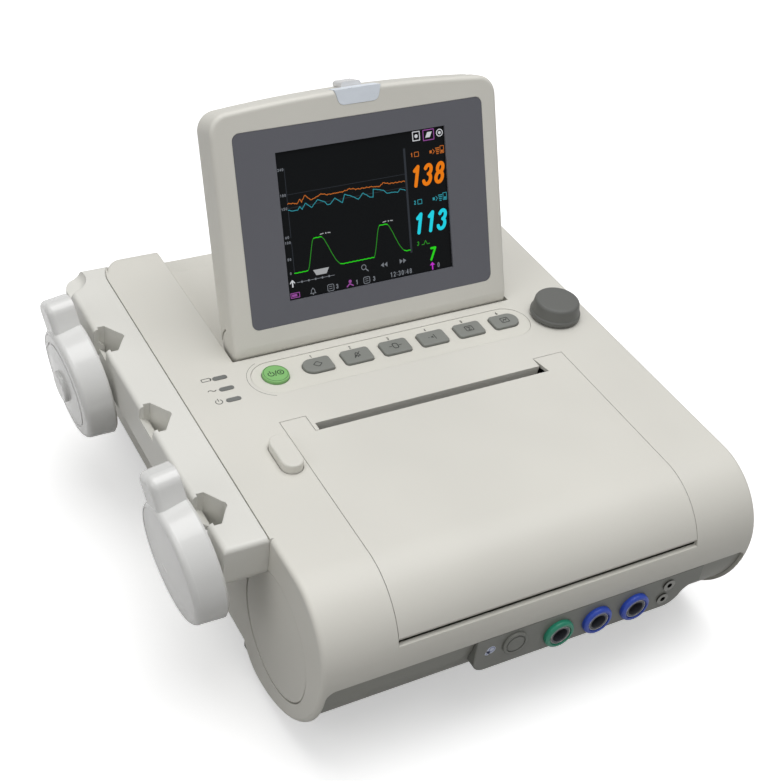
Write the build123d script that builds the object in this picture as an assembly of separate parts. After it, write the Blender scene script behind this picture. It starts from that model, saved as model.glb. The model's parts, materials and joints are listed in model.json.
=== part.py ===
from build123d import *

import os
from math import acos, cos, degrees, pi, radians, sin, sqrt

# Bedside fetal monitor: a desktop case with a rounded front, a screen that folds down into a well,
# a thermal recorder under a curved paper door, a probe rail on the left and two docked transducers.
# Millimetres. +X right, +Y to the back, +Z up. The origin is on the table, on the centre line of the
# case, at the middle of the trolley pad under the base.

os.makedirs("parts", exist_ok=True)

# ---------------------------------------------------------------- driving dimensions
# case
case_width = 295.0
panel_z = 125.0                 # height of the flat top panel
rear_y = 182.0                  # rear wall
wall = 3.0                      # moulded wall of both housings
side_z = 15.5                   # lower edge of the side walls behind the rounded front
nose_r = 44.0                   # upper arc of the rounded front
nose_y = -139.5                 # centre of the upper arc
belly_r = 76.5                  # lower arc of the rounded front
heel_r = 28.0                   # arc from the underside back up to the side edge
rear_top_r = 12.0
rear_corner_r = 30.0
end_edge_r = 3.0                # rounding round both ends of the case
seam = 0.3                      # gap between neighbouring covers
band_z = 75.0                   # top of the lower housing on the front
band_corner_r = 6.0
band_inset = 2.2                # how far the lower housing's front stands back from the case

# end discs
disc_r = 40.0
disc_y, disc_z = -124.5, 63.0
disc_thickness = 1.6
disc_sink = 0.3
disc_groove = 0.6

# paper door and recorder
door_x0, door_x1 = -102.0, 102.0
door_back_y = -21.8
door_skin = 2.6
door_bottom_z = 92.8
door_gap = 0.5
door_roll_r = 4.0               # rolled lower edge round the hinge pin
door_pin_r = 1.5
door_boss_wall = 6.0
slot_x0, slot_x1 = -82.0, 79.0
slot_back_y = -30.0
slot_front_y = -36.2
tongue_x0, tongue_x1 = -84.5, 79.5
tongue_step = 2.5
scoop_run = 3.0                 # how far the door's right notch edge slants
tray_inside_x = 156.0           # for 152 mm fan-fold paper
tray_inside_y = 104.0
tray_floor_z = 84.0
tray_wall = 2.0
tray_height = 24.0
tray_front_y = -163.0
platen_r = 7.0
platen_shaft_r = 2.5
platen_y, platen_z = -42.6, 112.6
platen_length = 153.0
platen_ear = 3.0
ear_gap = 2.0                   # platen's running gap beside its ears
ear_r = 5.0
head_gap = 0.3                  # running gap between platen rubber and thermal head
head_thickness = 4.0
gear_module = 0.8
platen_teeth = 20
reduction_teeth = 40
pinion_teeth = 12
gear_width = 5.0
gear_tip, gear_root = 0.9, 1.2  # tooth above and below the pitch circle, in modules
gear_backlash = 0.28
motor_r = 17.5
motor_length = 22.0
motor_shaft_r = 1.5
frame_plate = 2.0               # sheet of the recorder frame
gear_gap = 1.2                  # between the ear and the gears
door_rib_pitch = 60.5

# door latch
latch_side, latch_y = 36.0, -52.0       # latch button's distance from the case's side
latch_width, latch_length = 13.6, 30.0
latch_proud = 6.0
latch_edge_r = 1.2
key_clear = 0.3                 # gap round keys and buttons

# keys
plate_x0, plate_x1 = -101.3, 101.0
plate_y0, plate_y1 = 3.3, 34.7
plate_thickness = 1.2
plate_sink = 0.25
key_row_y = 20.2
first_key_x = -56.2
key_pitch = 27.9
key_width, key_depth = 20.0, 13.4
key_proud = 1.6
key_corner_r = 2.4
key_travel = 0.8
power_x = -85.3
power_r = 8.6
key_stem = 2.6
flange_margin = 1.0
flange_thickness = 1.0
led_x = -118.7
led_y = 7.9
led_pitch = 11.1
led_length, led_width = 9.6, 3.5
led_depth = 4.0

# control knob
knob_side, knob_y = 26.7, 15.4
knob_base_r, knob_top_r = 17.2, 15.4
knob_height = 12.0
knob_skirt = 3.6
knob_gap = 1.2
encoder_shaft_r = 3.0
encoder_sleeve_r = 4.5
running_clear = 0.05

# screen, laid out in its own plane: u across, v up the face, w out of the face
screen_x = -2.8
foot_y = 40.0                   # where the face plane meets the panel
lean = 21.737                   # degrees back from vertical
frame_width = 200.8
crown_v = 158.5
crown_drop = 5.0
frame_corner_r = 13.0
chin_r = 11.0                   # rounded lower edge, round the hinge axis
chin_v = 8.1
screen_thickness = 26.5
front_depth = 12.0
frame_wall = 2.5
frame_edge_r = 3.0
overlay_left, overlay_right = 13.4, 11.6     # bezel's distance from the screen's sides
overlay_v0 = 17.7
overlay_top = 16.9              # bezel's distance below the crown
overlay_corner_r = 5.0
overlay_thickness = 1.4
lcd_u0, lcd_u1 = -59.8, 60.0
lcd_v0, lcd_v1 = 32.3, 126.4
lcd_thickness = 6.0
lens_top_width, lens_low_width = 33.0, 27.0
lens_height = 9.5
lens_depth = 9.0
lens_corner_r = 4.5
catch_width, catch_height, catch_depth = 14.0, 3.2, 12.0
hinge_pin_r = 3.0
hinge_u = 66.0                  # hinge arms left and right of the screen's centre
arm_width = 12.0
arm_slot = 13.0
arm_eye_r = 7.2
hinge_pin_length = 40.0

# screen well
well_x0, well_x1 = -105.0, 99.4
well_gap_r = 12.0               # radius of the well's front wall round the hinge axis
well_back_y = 50.0
well_low_z = 91.0
well_low_y = 84.0
well_lip_z = 109.5
well_lip_y = 168.0
bumper_x, bumper_y, bumper_r = 45.0, 174.0, 5.0

# probe rail
rail_x = -174.5                 # outer wall
rail_z0 = 96.0
rail_y0, rail_y1 = -110.0, 170.0
rail_edge_r = 3.0
rail_wall = 2.5
rail_corner_r = 13.0            # rear outer corner, from above
rail_front_r = 6.0              # lower front edge
rail_groove, rail_groove_depth = 0.7, 1.6
notch_ys = (-75.5, 9.0, 91.5)
notch_mouth = 27.0
notch_throat = 7.5              # depth of the straight part behind the outer wall
notch_tab = 2.2                 # tabs that narrow the mouth in the outer wall
notch_tip_x = -158.5
notch_tip_r = 3.0
notch_floor = 3.0
finger_r = 17.8
finger_depth = 6.0
finger_x, finger_y = -178.0, 163.5

# docked transducers: x, y, z of the inner face's centre, for the front and the rear one
dock_centres = ((-177.3, -84.0, 102.5), (-177.3, 95.5, 95.6))
dock_yaw = 2.0
dock_tilt = 8.1
puck_inner_r, puck_outer_r = 39.0, 37.2
puck_thickness = 19.5
puck_edge_r = 4.0
puck_dome = 2.0
neck_angle = 25.0               # degrees back from the top of the puck
neck_width = 24.0
neck_reach = 55.0
neck_corner_r = 7.5
neck_edge_r = 4.0
face_r = 34.0
face_thickness = 2.5
stud_rise = 8.9                 # hanger stud above the puck's centre
stud_shift = 2.25               # hanger stud behind the puck's centre
stud_r, stud_head_r, stud_head = 3.0, 4.4, 2.6
stud_clear = 0.6                # room beside the stud's head in its slot
lip_thickness = 3.0
ledge_run = 7.0                 # sloping ledge inside each notch's mouth
ledge_z, ledge_drop = 117.0, 6.0
sensor_r, sensor_height = 10.5, 2.4
ring_r, ring_depth = 29.0, 0.6

# socket panel on the front
socket_panel_x0, socket_panel_x1 = -50.0, 112.0
socket_panel_z = 48.5
socket_panel_depth = 12.0
socket_panel_corner_r = 8.0
front_y = nose_y - nose_r       # foremost line of the rounded front
toco_x = 7.0
socket_pitch = 27.3
socket_z = 59.8
socket_flange_r = 9.9
socket_proud = 3.4
socket_ring_r = 7.4             # shallow recess round the bore
socket_lining_wall = 1.4
socket_bore_r = 5.0
socket_bore_depth = 12.0
socket_body_r = 8.6
socket_body_length = 22.0
marker_x, marker_z, marker_r = -23.8, 64.5, 8.2
jack_places = ((86.2, 68.0), (83.9, 57.2))
jack_r, jack_bore_r, jack_length = 3.2, 1.75, 14.0

# base and feet
base_side_gap = 0.3
tub_inset = 6.0
tub_height = 24.0
foot_r, foot_side, foot_front_y, foot_rear_y = 10.0, 29.5, -95.0, 158.0
pad_length, pad_width = 120.0, 76.0
insert_x, insert_y = 100.0, 50.0
insert_r, insert_outer_r, insert_length = 2.0, 3.5, 9.0
battery_x, battery_y, battery_z = 92.0, 72.0, 22.0
battery_cx, battery_cy = 0.0, 100.0
case_screw_r, case_screw_head_r = 1.6, 3.0
case_screw_top = 30.0
pillar_side, pillar_ys = 17.5, (-62.0, 120.0)   # screw pillars: distance from the case's side, and y
pillar_r = 4.0
board_boss_r = 2.4
speaker_side, speaker_y, speaker_r = 39.5, 8.0, 20.0
tower_side, tower_width, tower_top = 49.5, 8.0, 46.0
psu_side, psu_width, psu_y0, psu_y1 = 25.5, 66.0, 66.0, 164.0
capacitor_r, capacitor_pitch = 7.0, 17.0
board_side, board_x1, board_y0, board_y1, main_board_z = 25.5, 48.0, -14.0, 152.0, 38.0

# rear
mains_side, mains_z = 57.5, 52.0        # inlet's distance from the case's side
network_x, network_z = 40.0, 46.0
earth_pitch, earth_z = 33.0, 52.0       # earth stud's distance from the inlet

# ---------------------------------------------------------------- derived values
half_width = case_width / 2
belly_y = front_y + belly_r
nose_z = panel_z - nose_r
base_z = nose_z - belly_r       # underside of the base, tangent to the lower arc
inner_x = half_width - wall
overlay_u0, overlay_u1 = overlay_left - frame_width / 2, frame_width / 2 - overlay_right
overlay_v1 = crown_v - overlay_top
foot_x = half_width - foot_side
pillar_x = half_width - pillar_side
speaker_x = half_width - speaker_side
tower_x0, tower_x1 = half_width - tower_side - tower_width, half_width - tower_side
psu_x0, psu_x1 = half_width - psu_side - psu_width, half_width - psu_side
board_x0 = board_side - half_width
mains_x = half_width - mains_side
earth_x = mains_x - earth_pitch
latch_x = latch_side - half_width
knob_x = half_width - knob_side
hinge_y = foot_y + chin_v * sin(radians(lean)) + chin_r * cos(radians(lean))
hinge_z = panel_z + chin_v * cos(radians(lean)) - chin_r * sin(radians(lean))
door_hinge_z = door_bottom_z + door_gap + door_roll_r
door_hinge_y = nose_y - sqrt((nose_r - door_roll_r) ** 2 - (door_hinge_z - nose_z) ** 2)
board_top = panel_z - wall - key_clear / 3 - flange_thickness - key_stem - 2.7
tray_x = (slot_x0 + slot_x1) / 2
socket_xs = [toco_x + k * socket_pitch for k in range(3)]
platen_x0 = tray_x - platen_length / 2
platen_x1 = tray_x + platen_length / 2
ear_xs = (platen_x0 - ear_gap - platen_ear, platen_x1 + ear_gap)
gear_x0 = platen_x1 + ear_gap + platen_ear + gear_gap
gear_distance = gear_module * (platen_teeth + reduction_teeth) / 2
pinion_distance = gear_module * (pinion_teeth + reduction_teeth) / 2
reduction_z = platen_z - gear_distance
motor_z = reduction_z - pinion_distance
plate_x = gear_x0 + gear_width + 5      # side plate of the recorder frame
head_y = platen_y + platen_r + head_gap

key_places = [Pos(first_key_x + k * key_pitch, key_row_y) for k in range(6)]
power_place = Pos(power_x, key_row_y)
led_places = [Pos(led_x, led_y + k * led_pitch) for k in range(3)]
pillar_places = [(sx * pillar_x, y) for sx in (-1, 1) for y in pillar_ys]
board_boss_places = [(x, y) for x in (-100, -14.5, 97) for y in (5.5, 33)]
tray_boss_places = [(tray_x + sx * 60, y) for sx in (-1, 1) for y in (-148, -76)]
standoff_places = [(x, y) for x in (board_x0 + 8, board_x1 - 8) for y in (board_y0 + 8, board_y1 - 8)]
insert_places = [(sx * insert_x / 2, sy * insert_y / 2) for sx in (-1, 1) for sy in (-1, 1)]
foot_places = [(sx * foot_x, y) for sx in (-1, 1) for y in (foot_front_y, foot_rear_y)]


# ---------------------------------------------------------------- helpers
def block(x0, x1, y0, y1, z0, z1):
    """A box between two corners."""
    return Pos((x0 + x1) / 2, (y0 + y1) / 2, (z0 + z1) / 2) * Box(x1 - x0, y1 - y0, z1 - z0)


def rod_x(radius, x0, x1, y, z):
    """A cylinder along X."""
    return Pos((x0 + x1) / 2, y, z) * Rot(0, 90, 0) * Cylinder(radius, x1 - x0)


def rod_y(radius, y0, y1, x, z):
    """A cylinder along Y."""
    return Pos(x, (y0 + y1) / 2, z) * Rot(90, 0, 0) * Cylinder(radius, y1 - y0)


def rod_z(radius, z0, z1, x, y):
    """A cylinder along Z."""
    return Pos(x, y, (z0 + z1) / 2) * Cylinder(radius, z1 - z0)


def across(outline, x0, x1):
    """Extrude a side-view outline, drawn as (y, z), from x0 to x1."""
    return extrude(Plane.YZ.offset(x0) * outline, amount=x1 - x0)


def backwards(outline, y0, y1):
    """Extrude a front-view outline, drawn as (x, z), from y0 back to y1."""
    return extrude(Plane.XZ.offset(-y0) * outline, amount=-(y1 - y0))


def upwards(outline, z0, z1):
    """Extrude a plan outline from z0 up to z1."""
    return extrude(Pos(0, 0, z0) * outline, amount=z1 - z0)


def polygon(*points):
    """A closed face through the given points."""
    return make_face(Polyline(*points, close=True))


def arc_point(centre_y, centre_z, radius, angle):
    """A point of a circle in the side view, by its angle in degrees from +Y."""
    return (centre_y + radius * cos(radians(angle)), centre_z + radius * sin(radians(angle)))


def group(*solids):
    """Separate solids that share one node."""
    return Compound(children=[s if isinstance(s, Solid) else s.solid() for s in solids])


# ---------------------------------------------------------------- case outlines
def case_outline(inset=0.0):
    """The case from the side: flat top, rounded front and heel, straight lower edge to the rear."""
    nose, belly, heel = nose_r - inset, belly_r - inset, heel_r - inset
    top, rear, low = panel_z - inset, rear_y - inset, side_z + inset
    corner = rear_top_r - inset
    heel_z = base_z + heel_r
    heel_turn = degrees(acos((heel_z - low) / heel))
    heel_end = arc_point(belly_y, heel_z, heel, heel_turn - 90)
    edges = [
        Line((rear - corner, top), (nose_y, top)),
        ThreePointArc((nose_y, top), arc_point(nose_y, nose_z, nose, 135), (nose_y - nose, nose_z)),
        ThreePointArc((belly_y - belly, nose_z), arc_point(belly_y, nose_z, belly, 225),
                      (belly_y, nose_z - belly)),
        ThreePointArc((belly_y, heel_z - heel), arc_point(belly_y, heel_z, heel, heel_turn / 2 - 90),
                      heel_end),
        Line(heel_end, (rear, low)),
        Line((rear, low), (rear, top - corner)),
        ThreePointArc((rear, top - corner), arc_point(rear - corner, top - corner, corner, 45),
                      (rear - corner, top)),
    ]
    return make_face(Wire(edges))


def plan_outline(inset=0.0):
    """The case from above, with its two rounded rear corners."""
    half, rear, corner = half_width - inset, rear_y - inset, rear_corner_r - inset
    front = front_y - corner
    shape = Pos(0, (front + rear) / 2) * Rectangle(2 * half, rear - front)
    return fillet(shape.vertices().group_by(Axis.Y)[-1], corner)


def case_solid(inset=0.0):
    """The whole case as a solid, moved inwards by inset."""
    reach = half_width - inset
    body = across(case_outline(inset), -reach, reach)
    return body & upwards(plan_outline(inset), 0, panel_z)


def well_outline(grow=0.0):
    """The screen well from the side: a scoop that is deep by the hinge and rises to a low rear lip."""
    low, lip, far = well_low_z - grow, well_lip_z - grow, rear_y + 10
    front = well_back_y - grow
    ramp_mid_y = (well_low_y + well_lip_y) / 2
    ramp_sag = 3.0
    edges = [
        Line((front, panel_z + 10), (front, low + 8)),
        ThreePointArc((front, low + 8), arc_point(front + 8, low + 8, 8, 225), (front + 8, low)),
        Line((front + 8, low), (well_low_y, low)),
        ThreePointArc((well_low_y, low), (ramp_mid_y, (low + lip) / 2 - ramp_sag), (well_lip_y, lip)),
        Line((well_lip_y, lip), (far, lip)),
        Line((far, lip), (far, panel_z + 10)),
        Line((far, panel_z + 10), (front, panel_z + 10)),
    ]
    return make_face(Wire(edges))


def well_space(grow=0.0):
    """The space of the screen well; its front wall is round the hinge axis."""
    x0, x1 = well_x0 - grow, well_x1 + grow
    return across(well_outline(grow), x0, x1) + rod_x(well_gap_r + grow, x0, x1, hinge_y, hinge_z)


def door_outline(grow=0.0):
    """The paper door from above, with the notch for the slot's fixed tongue."""
    x0, x1, back = door_x0 - grow, door_x1 + grow, door_back_y + grow
    slot = slot_front_y + grow
    left, right = tongue_x0 + grow, tongue_x1 - grow
    return polygon((x0, back), (left, back), (left, slot), (right + scoop_run, slot), (right, back),
                   (x1, back), (x1, front_y - 20), (x0, front_y - 20))


# ---------------------------------------------------------------- top housing
def key_outline(grow=0.0):
    """One rectangular key from above, about its own centre."""
    return RectangleRounded(key_width + 2 * grow, key_depth + 2 * grow, key_corner_r + grow)


def pill(length, width, grow=0.0):
    """A round-ended outline, long in X, about its own centre."""
    return SlotOverall(length + 2 * grow, width + 2 * grow)


def plate_outline(grow=0.0):
    """The key plate from above."""
    centre = Pos((plate_x0 + plate_x1) / 2, (plate_y0 + plate_y1) / 2)
    return centre * pill(plate_x1 - plate_x0, plate_y1 - plate_y0, grow)


def latch_outline(grow=0.0):
    """The door latch button from above."""
    return Pos(latch_x, latch_y) * Rot(0, 0, 90) * pill(latch_length, latch_width, grow)


def door_bosses():
    """Two bearings inside the front wall that hold the ends of the door's hinge pin."""
    bosses = Part()
    for x0, x1 in ((door_x0 - door_boss_wall, door_x0), (door_x1, door_x1 + door_boss_wall)):
        ear = rod_x(door_roll_r, x0, x1, door_hinge_y, door_hinge_z)
        ear += block(x0, x1, door_hinge_y - door_roll_r - 3, door_hinge_y,
                     door_hinge_z - door_roll_r, door_hinge_z + door_roll_r)
        bosses += ear
    return bosses & case_solid(wall / 2)


def top_housing():
    """Upper case: top panel, rounded front, end walls, rear wall and the screen well."""
    body = case_solid()
    ends = [e for e in body.edges() if abs(abs(e.center().X) - half_width) < 0.01]
    shell = fillet(ends, end_edge_r)
    rail_side = block(-half_width, -inner_x, rail_y0, rear_y, panel_z - wall, panel_z)
    shell += rail_side & body
    shell -= well_space()
    inside = case_solid(wall) - well_space(wall)
    inside += block(-inner_x, inner_x, belly_y + heel_r, rear_y - wall, side_z - 1, side_z + 2 * wall)
    shell -= inside
    band = Pos(0, band_z / 2 - 5) * Rectangle(2 * inner_x, band_z + 10)
    band = fillet(band.vertices().group_by(Axis.Y)[-1], band_corner_r)
    shell -= backwards(band, front_y - 5, belly_y + heel_r)

    shell -= upwards(door_outline(), door_bottom_z, panel_z + 1)
    slot = polygon((slot_x0, slot_front_y - 1), (slot_x0, slot_back_y), (tongue_x1, slot_back_y),
                   (tongue_x1, door_back_y), (tongue_x1 + scoop_run, slot_front_y),
                   (tongue_x1 + scoop_run, slot_front_y - 1))
    shell -= upwards(slot, panel_z - wall - 1, panel_z + 1)
    shell += door_bosses()
    reach = door_x1 + door_boss_wall
    shell -= rod_x(door_pin_r + running_clear, -reach, reach, door_hinge_y, door_hinge_z)

    below, above = panel_z - wall - 1, panel_z + 1
    recess = panel_z - plate_sink - plate_thickness
    shell -= upwards(plate_outline(), recess, above)
    for index, place in enumerate(key_places):
        shell -= upwards(place * key_shape(index, key_clear), below, above)
    shell -= upwards(power_place * Circle(power_r + key_clear), below, above)
    for place in led_places:
        shell -= upwards(place * pill(led_length, led_width, running_clear), below, above)
    shell -= upwards(latch_outline(key_clear), below, above)
    shell -= rod_z(encoder_sleeve_r + key_clear, below, above, knob_x, knob_y)

    for x, y in pillar_places:
        pillar = rod_z(pillar_r, base_z + wall + seam, panel_z - wall / 2, x, y)
        shell += pillar - rod_z(case_screw_r, 0, case_screw_top + 10, x, y)
    for x, y in board_boss_places:
        shell += rod_z(board_boss_r, board_top, panel_z - wall / 2, x, y)

    for sign in (-1, 1):
        x0, x1 = sorted((sign * (half_width - disc_thickness - disc_sink), sign * (half_width + 1)))
        shell -= rod_x(disc_r + disc_groove, x0, x1, disc_y, disc_z)

    shell -= block(mains_x - 14, mains_x + 14, rear_y - wall - 1, rear_y + 1, mains_z - 10, mains_z + 10)
    shell -= block(network_x - 8, network_x + 8, rear_y - wall - 1, rear_y + 1, network_z - 7, network_z + 7)
    shell -= rod_y(3.0, rear_y - wall - 1, rear_y + 1, earth_x, earth_z)
    return shell


def end_discs():
    """Round covers let into both end walls."""
    discs = []
    for sign in (-1, 1):
        outer = sign * (half_width - disc_sink)
        x0, x1 = sorted((outer, outer - sign * disc_thickness))
        disc = rod_x(disc_r, x0, x1, disc_y, disc_z)
        rim = disc.edges().filter_by(GeomType.CIRCLE).sort_by(Axis.X)[-1 if sign > 0 else 0]
        discs.append(fillet(rim, 0.7).solid())
    return group(*discs)


# ---------------------------------------------------------------- bottom housing
def socket_panel_outline(grow=0.0):
    """The socket panel from the front: round lower-left corner, S-curve on the right."""
    x0, x1, low, top = socket_panel_x0, socket_panel_x1, socket_panel_z, band_z
    corner, turn_r, flare_r = socket_panel_corner_r, 14.0, 12.0
    turn_x, turn_z = x1 - 26.0, low + turn_r
    turn_end = arc_point(turn_x, turn_z, turn_r, -30)
    flare_x, flare_z = turn_end[0] + flare_r * cos(radians(30)), turn_end[1] - flare_r * sin(radians(30))
    flare_end = (flare_x, flare_z + flare_r)
    edges = [
        Line((x0, top), (x0, low + corner)),
        ThreePointArc((x0, low + corner), arc_point(x0 + corner, low + corner, corner, 225), (x0 + corner, low)),
        Line((x0 + corner, low), (turn_x, low)),
        ThreePointArc((turn_x, low), arc_point(turn_x, turn_z, turn_r, -60), turn_end),
        ThreePointArc(turn_end, arc_point(flare_x, flare_z, flare_r, 120), flare_end),
        Line(flare_end, (x1, flare_end[1])),
        Line((x1, flare_end[1]), (x1, top)),
        Line((x1, top), (x0, top)),
    ]
    face = make_face(Wire(edges))
    return offset(face, amount=grow) if grow else face


def bottom_housing():
    """Lower case: the grey front band and trough, the base tray, its bosses and the trolley pad."""
    reach = inner_x - base_side_gap
    tub = half_width - tub_inset
    rear = rear_y - wall - base_side_gap
    front = belly_y + heel_r - base_side_gap
    trough = across(case_outline(band_inset), -reach, reach)
    trough &= block(-reach, reach, front_y - 1, belly_y, 0, band_z)
    trough += block(-reach, reach, belly_y, front, base_z, base_z + 2 * wall)
    hollow = across(case_outline(band_inset + wall), wall - reach, reach - wall)
    hollow &= block(-reach, reach, front_y, belly_y, 0, band_z)
    hollow += block(wall - reach, reach - wall, belly_y - 1, front - wall, base_z + wall, band_z)
    band = Pos(0, band_z / 2 - seam / 2) * Rectangle(2 * reach, band_z - seam)
    trough &= backwards(fillet(band.vertices().group_by(Axis.Y)[-1], band_corner_r), front_y - 5, front + 5)
    tray = block(-tub, tub, belly_y, rear, base_z, base_z + tub_height)
    tray &= upwards(plan_outline(tub_inset), 0, band_z) + block(-tub, tub, belly_y - 1, 0, 0, band_z)
    base = trough + tray
    tub_hollow = upwards(plan_outline(tub_inset + wall), base_z + wall, band_z)
    hollow += tub_hollow & block(-tub, tub, belly_y - 1, rear, 0, band_z)
    base -= hollow
    base -= backwards(socket_panel_outline(0.15), front_y - 1, front_y + socket_panel_depth + 3)

    floor_top = base_z + wall
    pad = fillet(Rectangle(pad_length, pad_width).vertices(), 8)
    base += upwards(pad, 0, base_z + 0.5)
    for x, y in insert_places:
        base += rod_z(insert_outer_r + 2.5, floor_top - 0.5, insert_length + 2, x, y)
        base -= rod_z(insert_outer_r, -1, insert_length, x, y)
    for x, y in foot_places:
        base -= rod_z(3.0, base_z - 1, floor_top + 1, x, y)
    for x, y in pillar_places:
        base -= rod_z(case_screw_r + 0.4, 0, floor_top + 1, x, y)
        base -= rod_z(case_screw_head_r + 0.4, 0, base_z + 1.4, x, y)
    for x, y in tray_boss_places:
        boss = rod_z(5.0, base_z, tray_floor_z - tray_wall, x, y)
        base += boss & across(case_outline(band_inset + wall / 2), -reach, reach)
    for x, y in standoff_places:
        base += rod_z(3.5, floor_top - 0.5, main_board_z, x, y)
    for side in (-1, 1):
        x0, x1 = sorted((side * tower_x0, side * tower_x1))
        base += block(x0, x1, -66, -22, floor_top - 0.5, tower_top)
    base -= block(battery_cx - battery_x / 2 - 1, battery_cx + battery_x / 2 + 1,
                  battery_cy - battery_y / 2 - 1, battery_cy + battery_y / 2 + 1, 0, floor_top + 1)
    for k in range(-2, 3):
        slot = Pos(speaker_x, speaker_y + 6 * k) * SlotOverall(26, 2.4)
        base -= upwards(slot, 0, floor_top + 1)
    return base


def socket_panel():
    """Flat panel let into the lower front, carrying every front socket."""
    panel = backwards(socket_panel_outline(), front_y, front_y + socket_panel_depth)
    panel = fillet(panel.edges().group_by(Axis.Y)[0].filter_by(lambda e: e.center().Z < band_z - 1), 0.8)
    for x in socket_xs:
        panel -= rod_y(socket_body_r, front_y - 1, front_y + 30, x, socket_z)
    panel -= rod_y(marker_r - 1.2, front_y - 1, front_y + 30, marker_x, marker_z)
    for x, z in jack_places:
        panel -= rod_y(jack_r, front_y - 1, front_y + 30, x, z)
    return panel


def probe_socket(x):
    """A round probe socket: rounded flange on the panel, bore in front and closed barrel behind."""
    flange = rod_y(socket_flange_r, front_y - socket_proud, front_y, x, socket_z)
    front_rim = flange.edges().filter_by(GeomType.CIRCLE).sort_by(Axis.Y)[0]
    flange = fillet(front_rim, 1.8)
    body = flange + rod_y(socket_body_r, front_y, front_y + socket_body_length, x, socket_z)
    mouth = front_y - socket_proud
    body -= rod_y(socket_ring_r, mouth - 1, mouth + 1, x, socket_z)
    lining_r = socket_bore_r + socket_lining_wall
    return body - rod_y(lining_r, mouth - 1, mouth + socket_bore_depth + 2, x, socket_z)


def socket_linings():
    """The pale insulating sleeves inside the three probe sockets, each with its contact pins."""
    sleeves = []
    for x in socket_xs:
        mouth = front_y - socket_proud + 0.6
        end = front_y - socket_proud + socket_bore_depth + 2
        sleeve = rod_y(socket_bore_r + socket_lining_wall, mouth, end, x, socket_z)
        sleeve -= rod_y(socket_bore_r, mouth - 1, mouth + socket_bore_depth, x, socket_z)
        sleeves.append(sleeve.solid())
    return group(*sleeves)


def marker_socket():
    """The event marker's socket with its round dust cap."""
    cap = rod_y(marker_r, front_y - 1.6, front_y, marker_x, marker_z)
    rim = cap.edges().filter_by(GeomType.CIRCLE).sort_by(Axis.Y)[0]
    cap = fillet(rim, 0.8)
    groove = rod_y(marker_r - 1.8, front_y - 2, front_y - 1.0, marker_x, marker_z)
    groove -= rod_y(marker_r - 2.6, front_y - 3, front_y, marker_x, marker_z)
    cap -= groove
    return cap + rod_y(marker_r - 1.2, front_y, front_y + 16, marker_x, marker_z)


def front_jacks():
    """Two small metal jack bushes."""
    jacks = []
    for x, z in jack_places:
        jack = rod_y(jack_r, front_y, front_y + jack_length, x, z)
        jack += rod_y(jack_r + 0.9, front_y - 1.0, front_y, x, z)
        jack -= rod_y(jack_bore_r, front_y - 2, front_y + jack_length - 2, x, z)
        jacks.append(jack.solid())
    return group(*jacks)


# ---------------------------------------------------------------- paper door and recorder
def paper_door():
    """Curved door with a rolled hinge edge, stiffening ribs and two ears for the platen."""
    x0, x1 = door_x0 + seam, door_x1 - seam
    skin = case_solid() - case_solid(door_skin)
    ribs = Part()
    for k in (-1, 0, 1):
        x = tray_x + k * door_rib_pitch
        ribs += block(x - 1, x + 1, -160, platen_y - platen_r - 2, door_hinge_z, panel_z)
    ribs += block(x0 + 6, x1 - 6, platen_y - platen_r - 4, platen_y - platen_r - 2, door_hinge_z, panel_z)
    skin += (case_solid(door_skin) - case_solid(door_skin + 4)) & ribs
    door = skin & upwards(door_outline(-seam), door_hinge_z, panel_z + 1)
    door += rod_x(door_roll_r, x0, x1, door_hinge_y, door_hinge_z)
    for x in ear_xs:
        ear = rod_x(ear_r, x, x + platen_ear, platen_y, platen_z)
        ear += block(x, x + platen_ear, platen_y - ear_r, platen_y + ear_r, platen_z, panel_z - door_skin / 2)
        door += ear
    door += block(x0, x0 + 2.4, latch_y - 7, latch_y + 7, panel_z - 12, panel_z - door_skin / 2)
    door -= rod_x(platen_shaft_r + running_clear, -half_width, half_width, platen_y, platen_z)
    return door - rod_x(door_pin_r + running_clear, -half_width, half_width, door_hinge_y, door_hinge_z)


def door_hinge_pin():
    """Steel pin through the door's rolled edge."""
    reach = door_x1 + door_boss_wall - 0.5
    return rod_x(door_pin_r, -reach, reach, door_hinge_y, door_hinge_z)


def spur_gear(teeth, tooth_angle, y, z, bore):
    """A spur gear in the recorder's gear plane with one tooth centred on tooth_angle."""
    pitch = gear_module * teeth / 2
    tip, root = pitch + gear_tip * gear_module, pitch - gear_root * gear_module
    half_pitch = pi * gear_module / 4 - gear_backlash / 2
    slope = sin(radians(20)) / cos(radians(20))
    tip_half = degrees((half_pitch - gear_tip * gear_module * slope) / tip)
    root_half = degrees((half_pitch + gear_root * gear_module * slope) / root)
    points = []
    for k in range(teeth):
        middle = tooth_angle + 360 * k / teeth
        for radius, turn in ((root, -root_half), (tip, -tip_half), (tip, tip_half), (root, root_half)):
            points.append(arc_point(y, z, radius, middle + turn))
    gear = across(polygon(*points), gear_x0, gear_x0 + gear_width)
    return gear - rod_x(bore, gear_x0 - 1, gear_x0 + gear_width + 1, y, z)


def platen_shaft():
    """Steel shaft of the platen, with the gear's seat at its right end."""
    return rod_x(platen_shaft_r, ear_xs[0] - 2, gear_x0 + gear_width + 1, platen_y, platen_z)


def platen_rubber():
    """Rubber sleeve that feeds the paper."""
    sleeve = rod_x(platen_r, platen_x0, platen_x1, platen_y, platen_z)
    return sleeve - rod_x(platen_shaft_r, platen_x0 - 1, platen_x1 + 1, platen_y, platen_z)


def platen_gear():
    """Gear on the platen shaft, in mesh with the reduction gear when the door is shut."""
    return spur_gear(platen_teeth, 270 + 180 / platen_teeth, platen_y, platen_z, platen_shaft_r)


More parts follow.
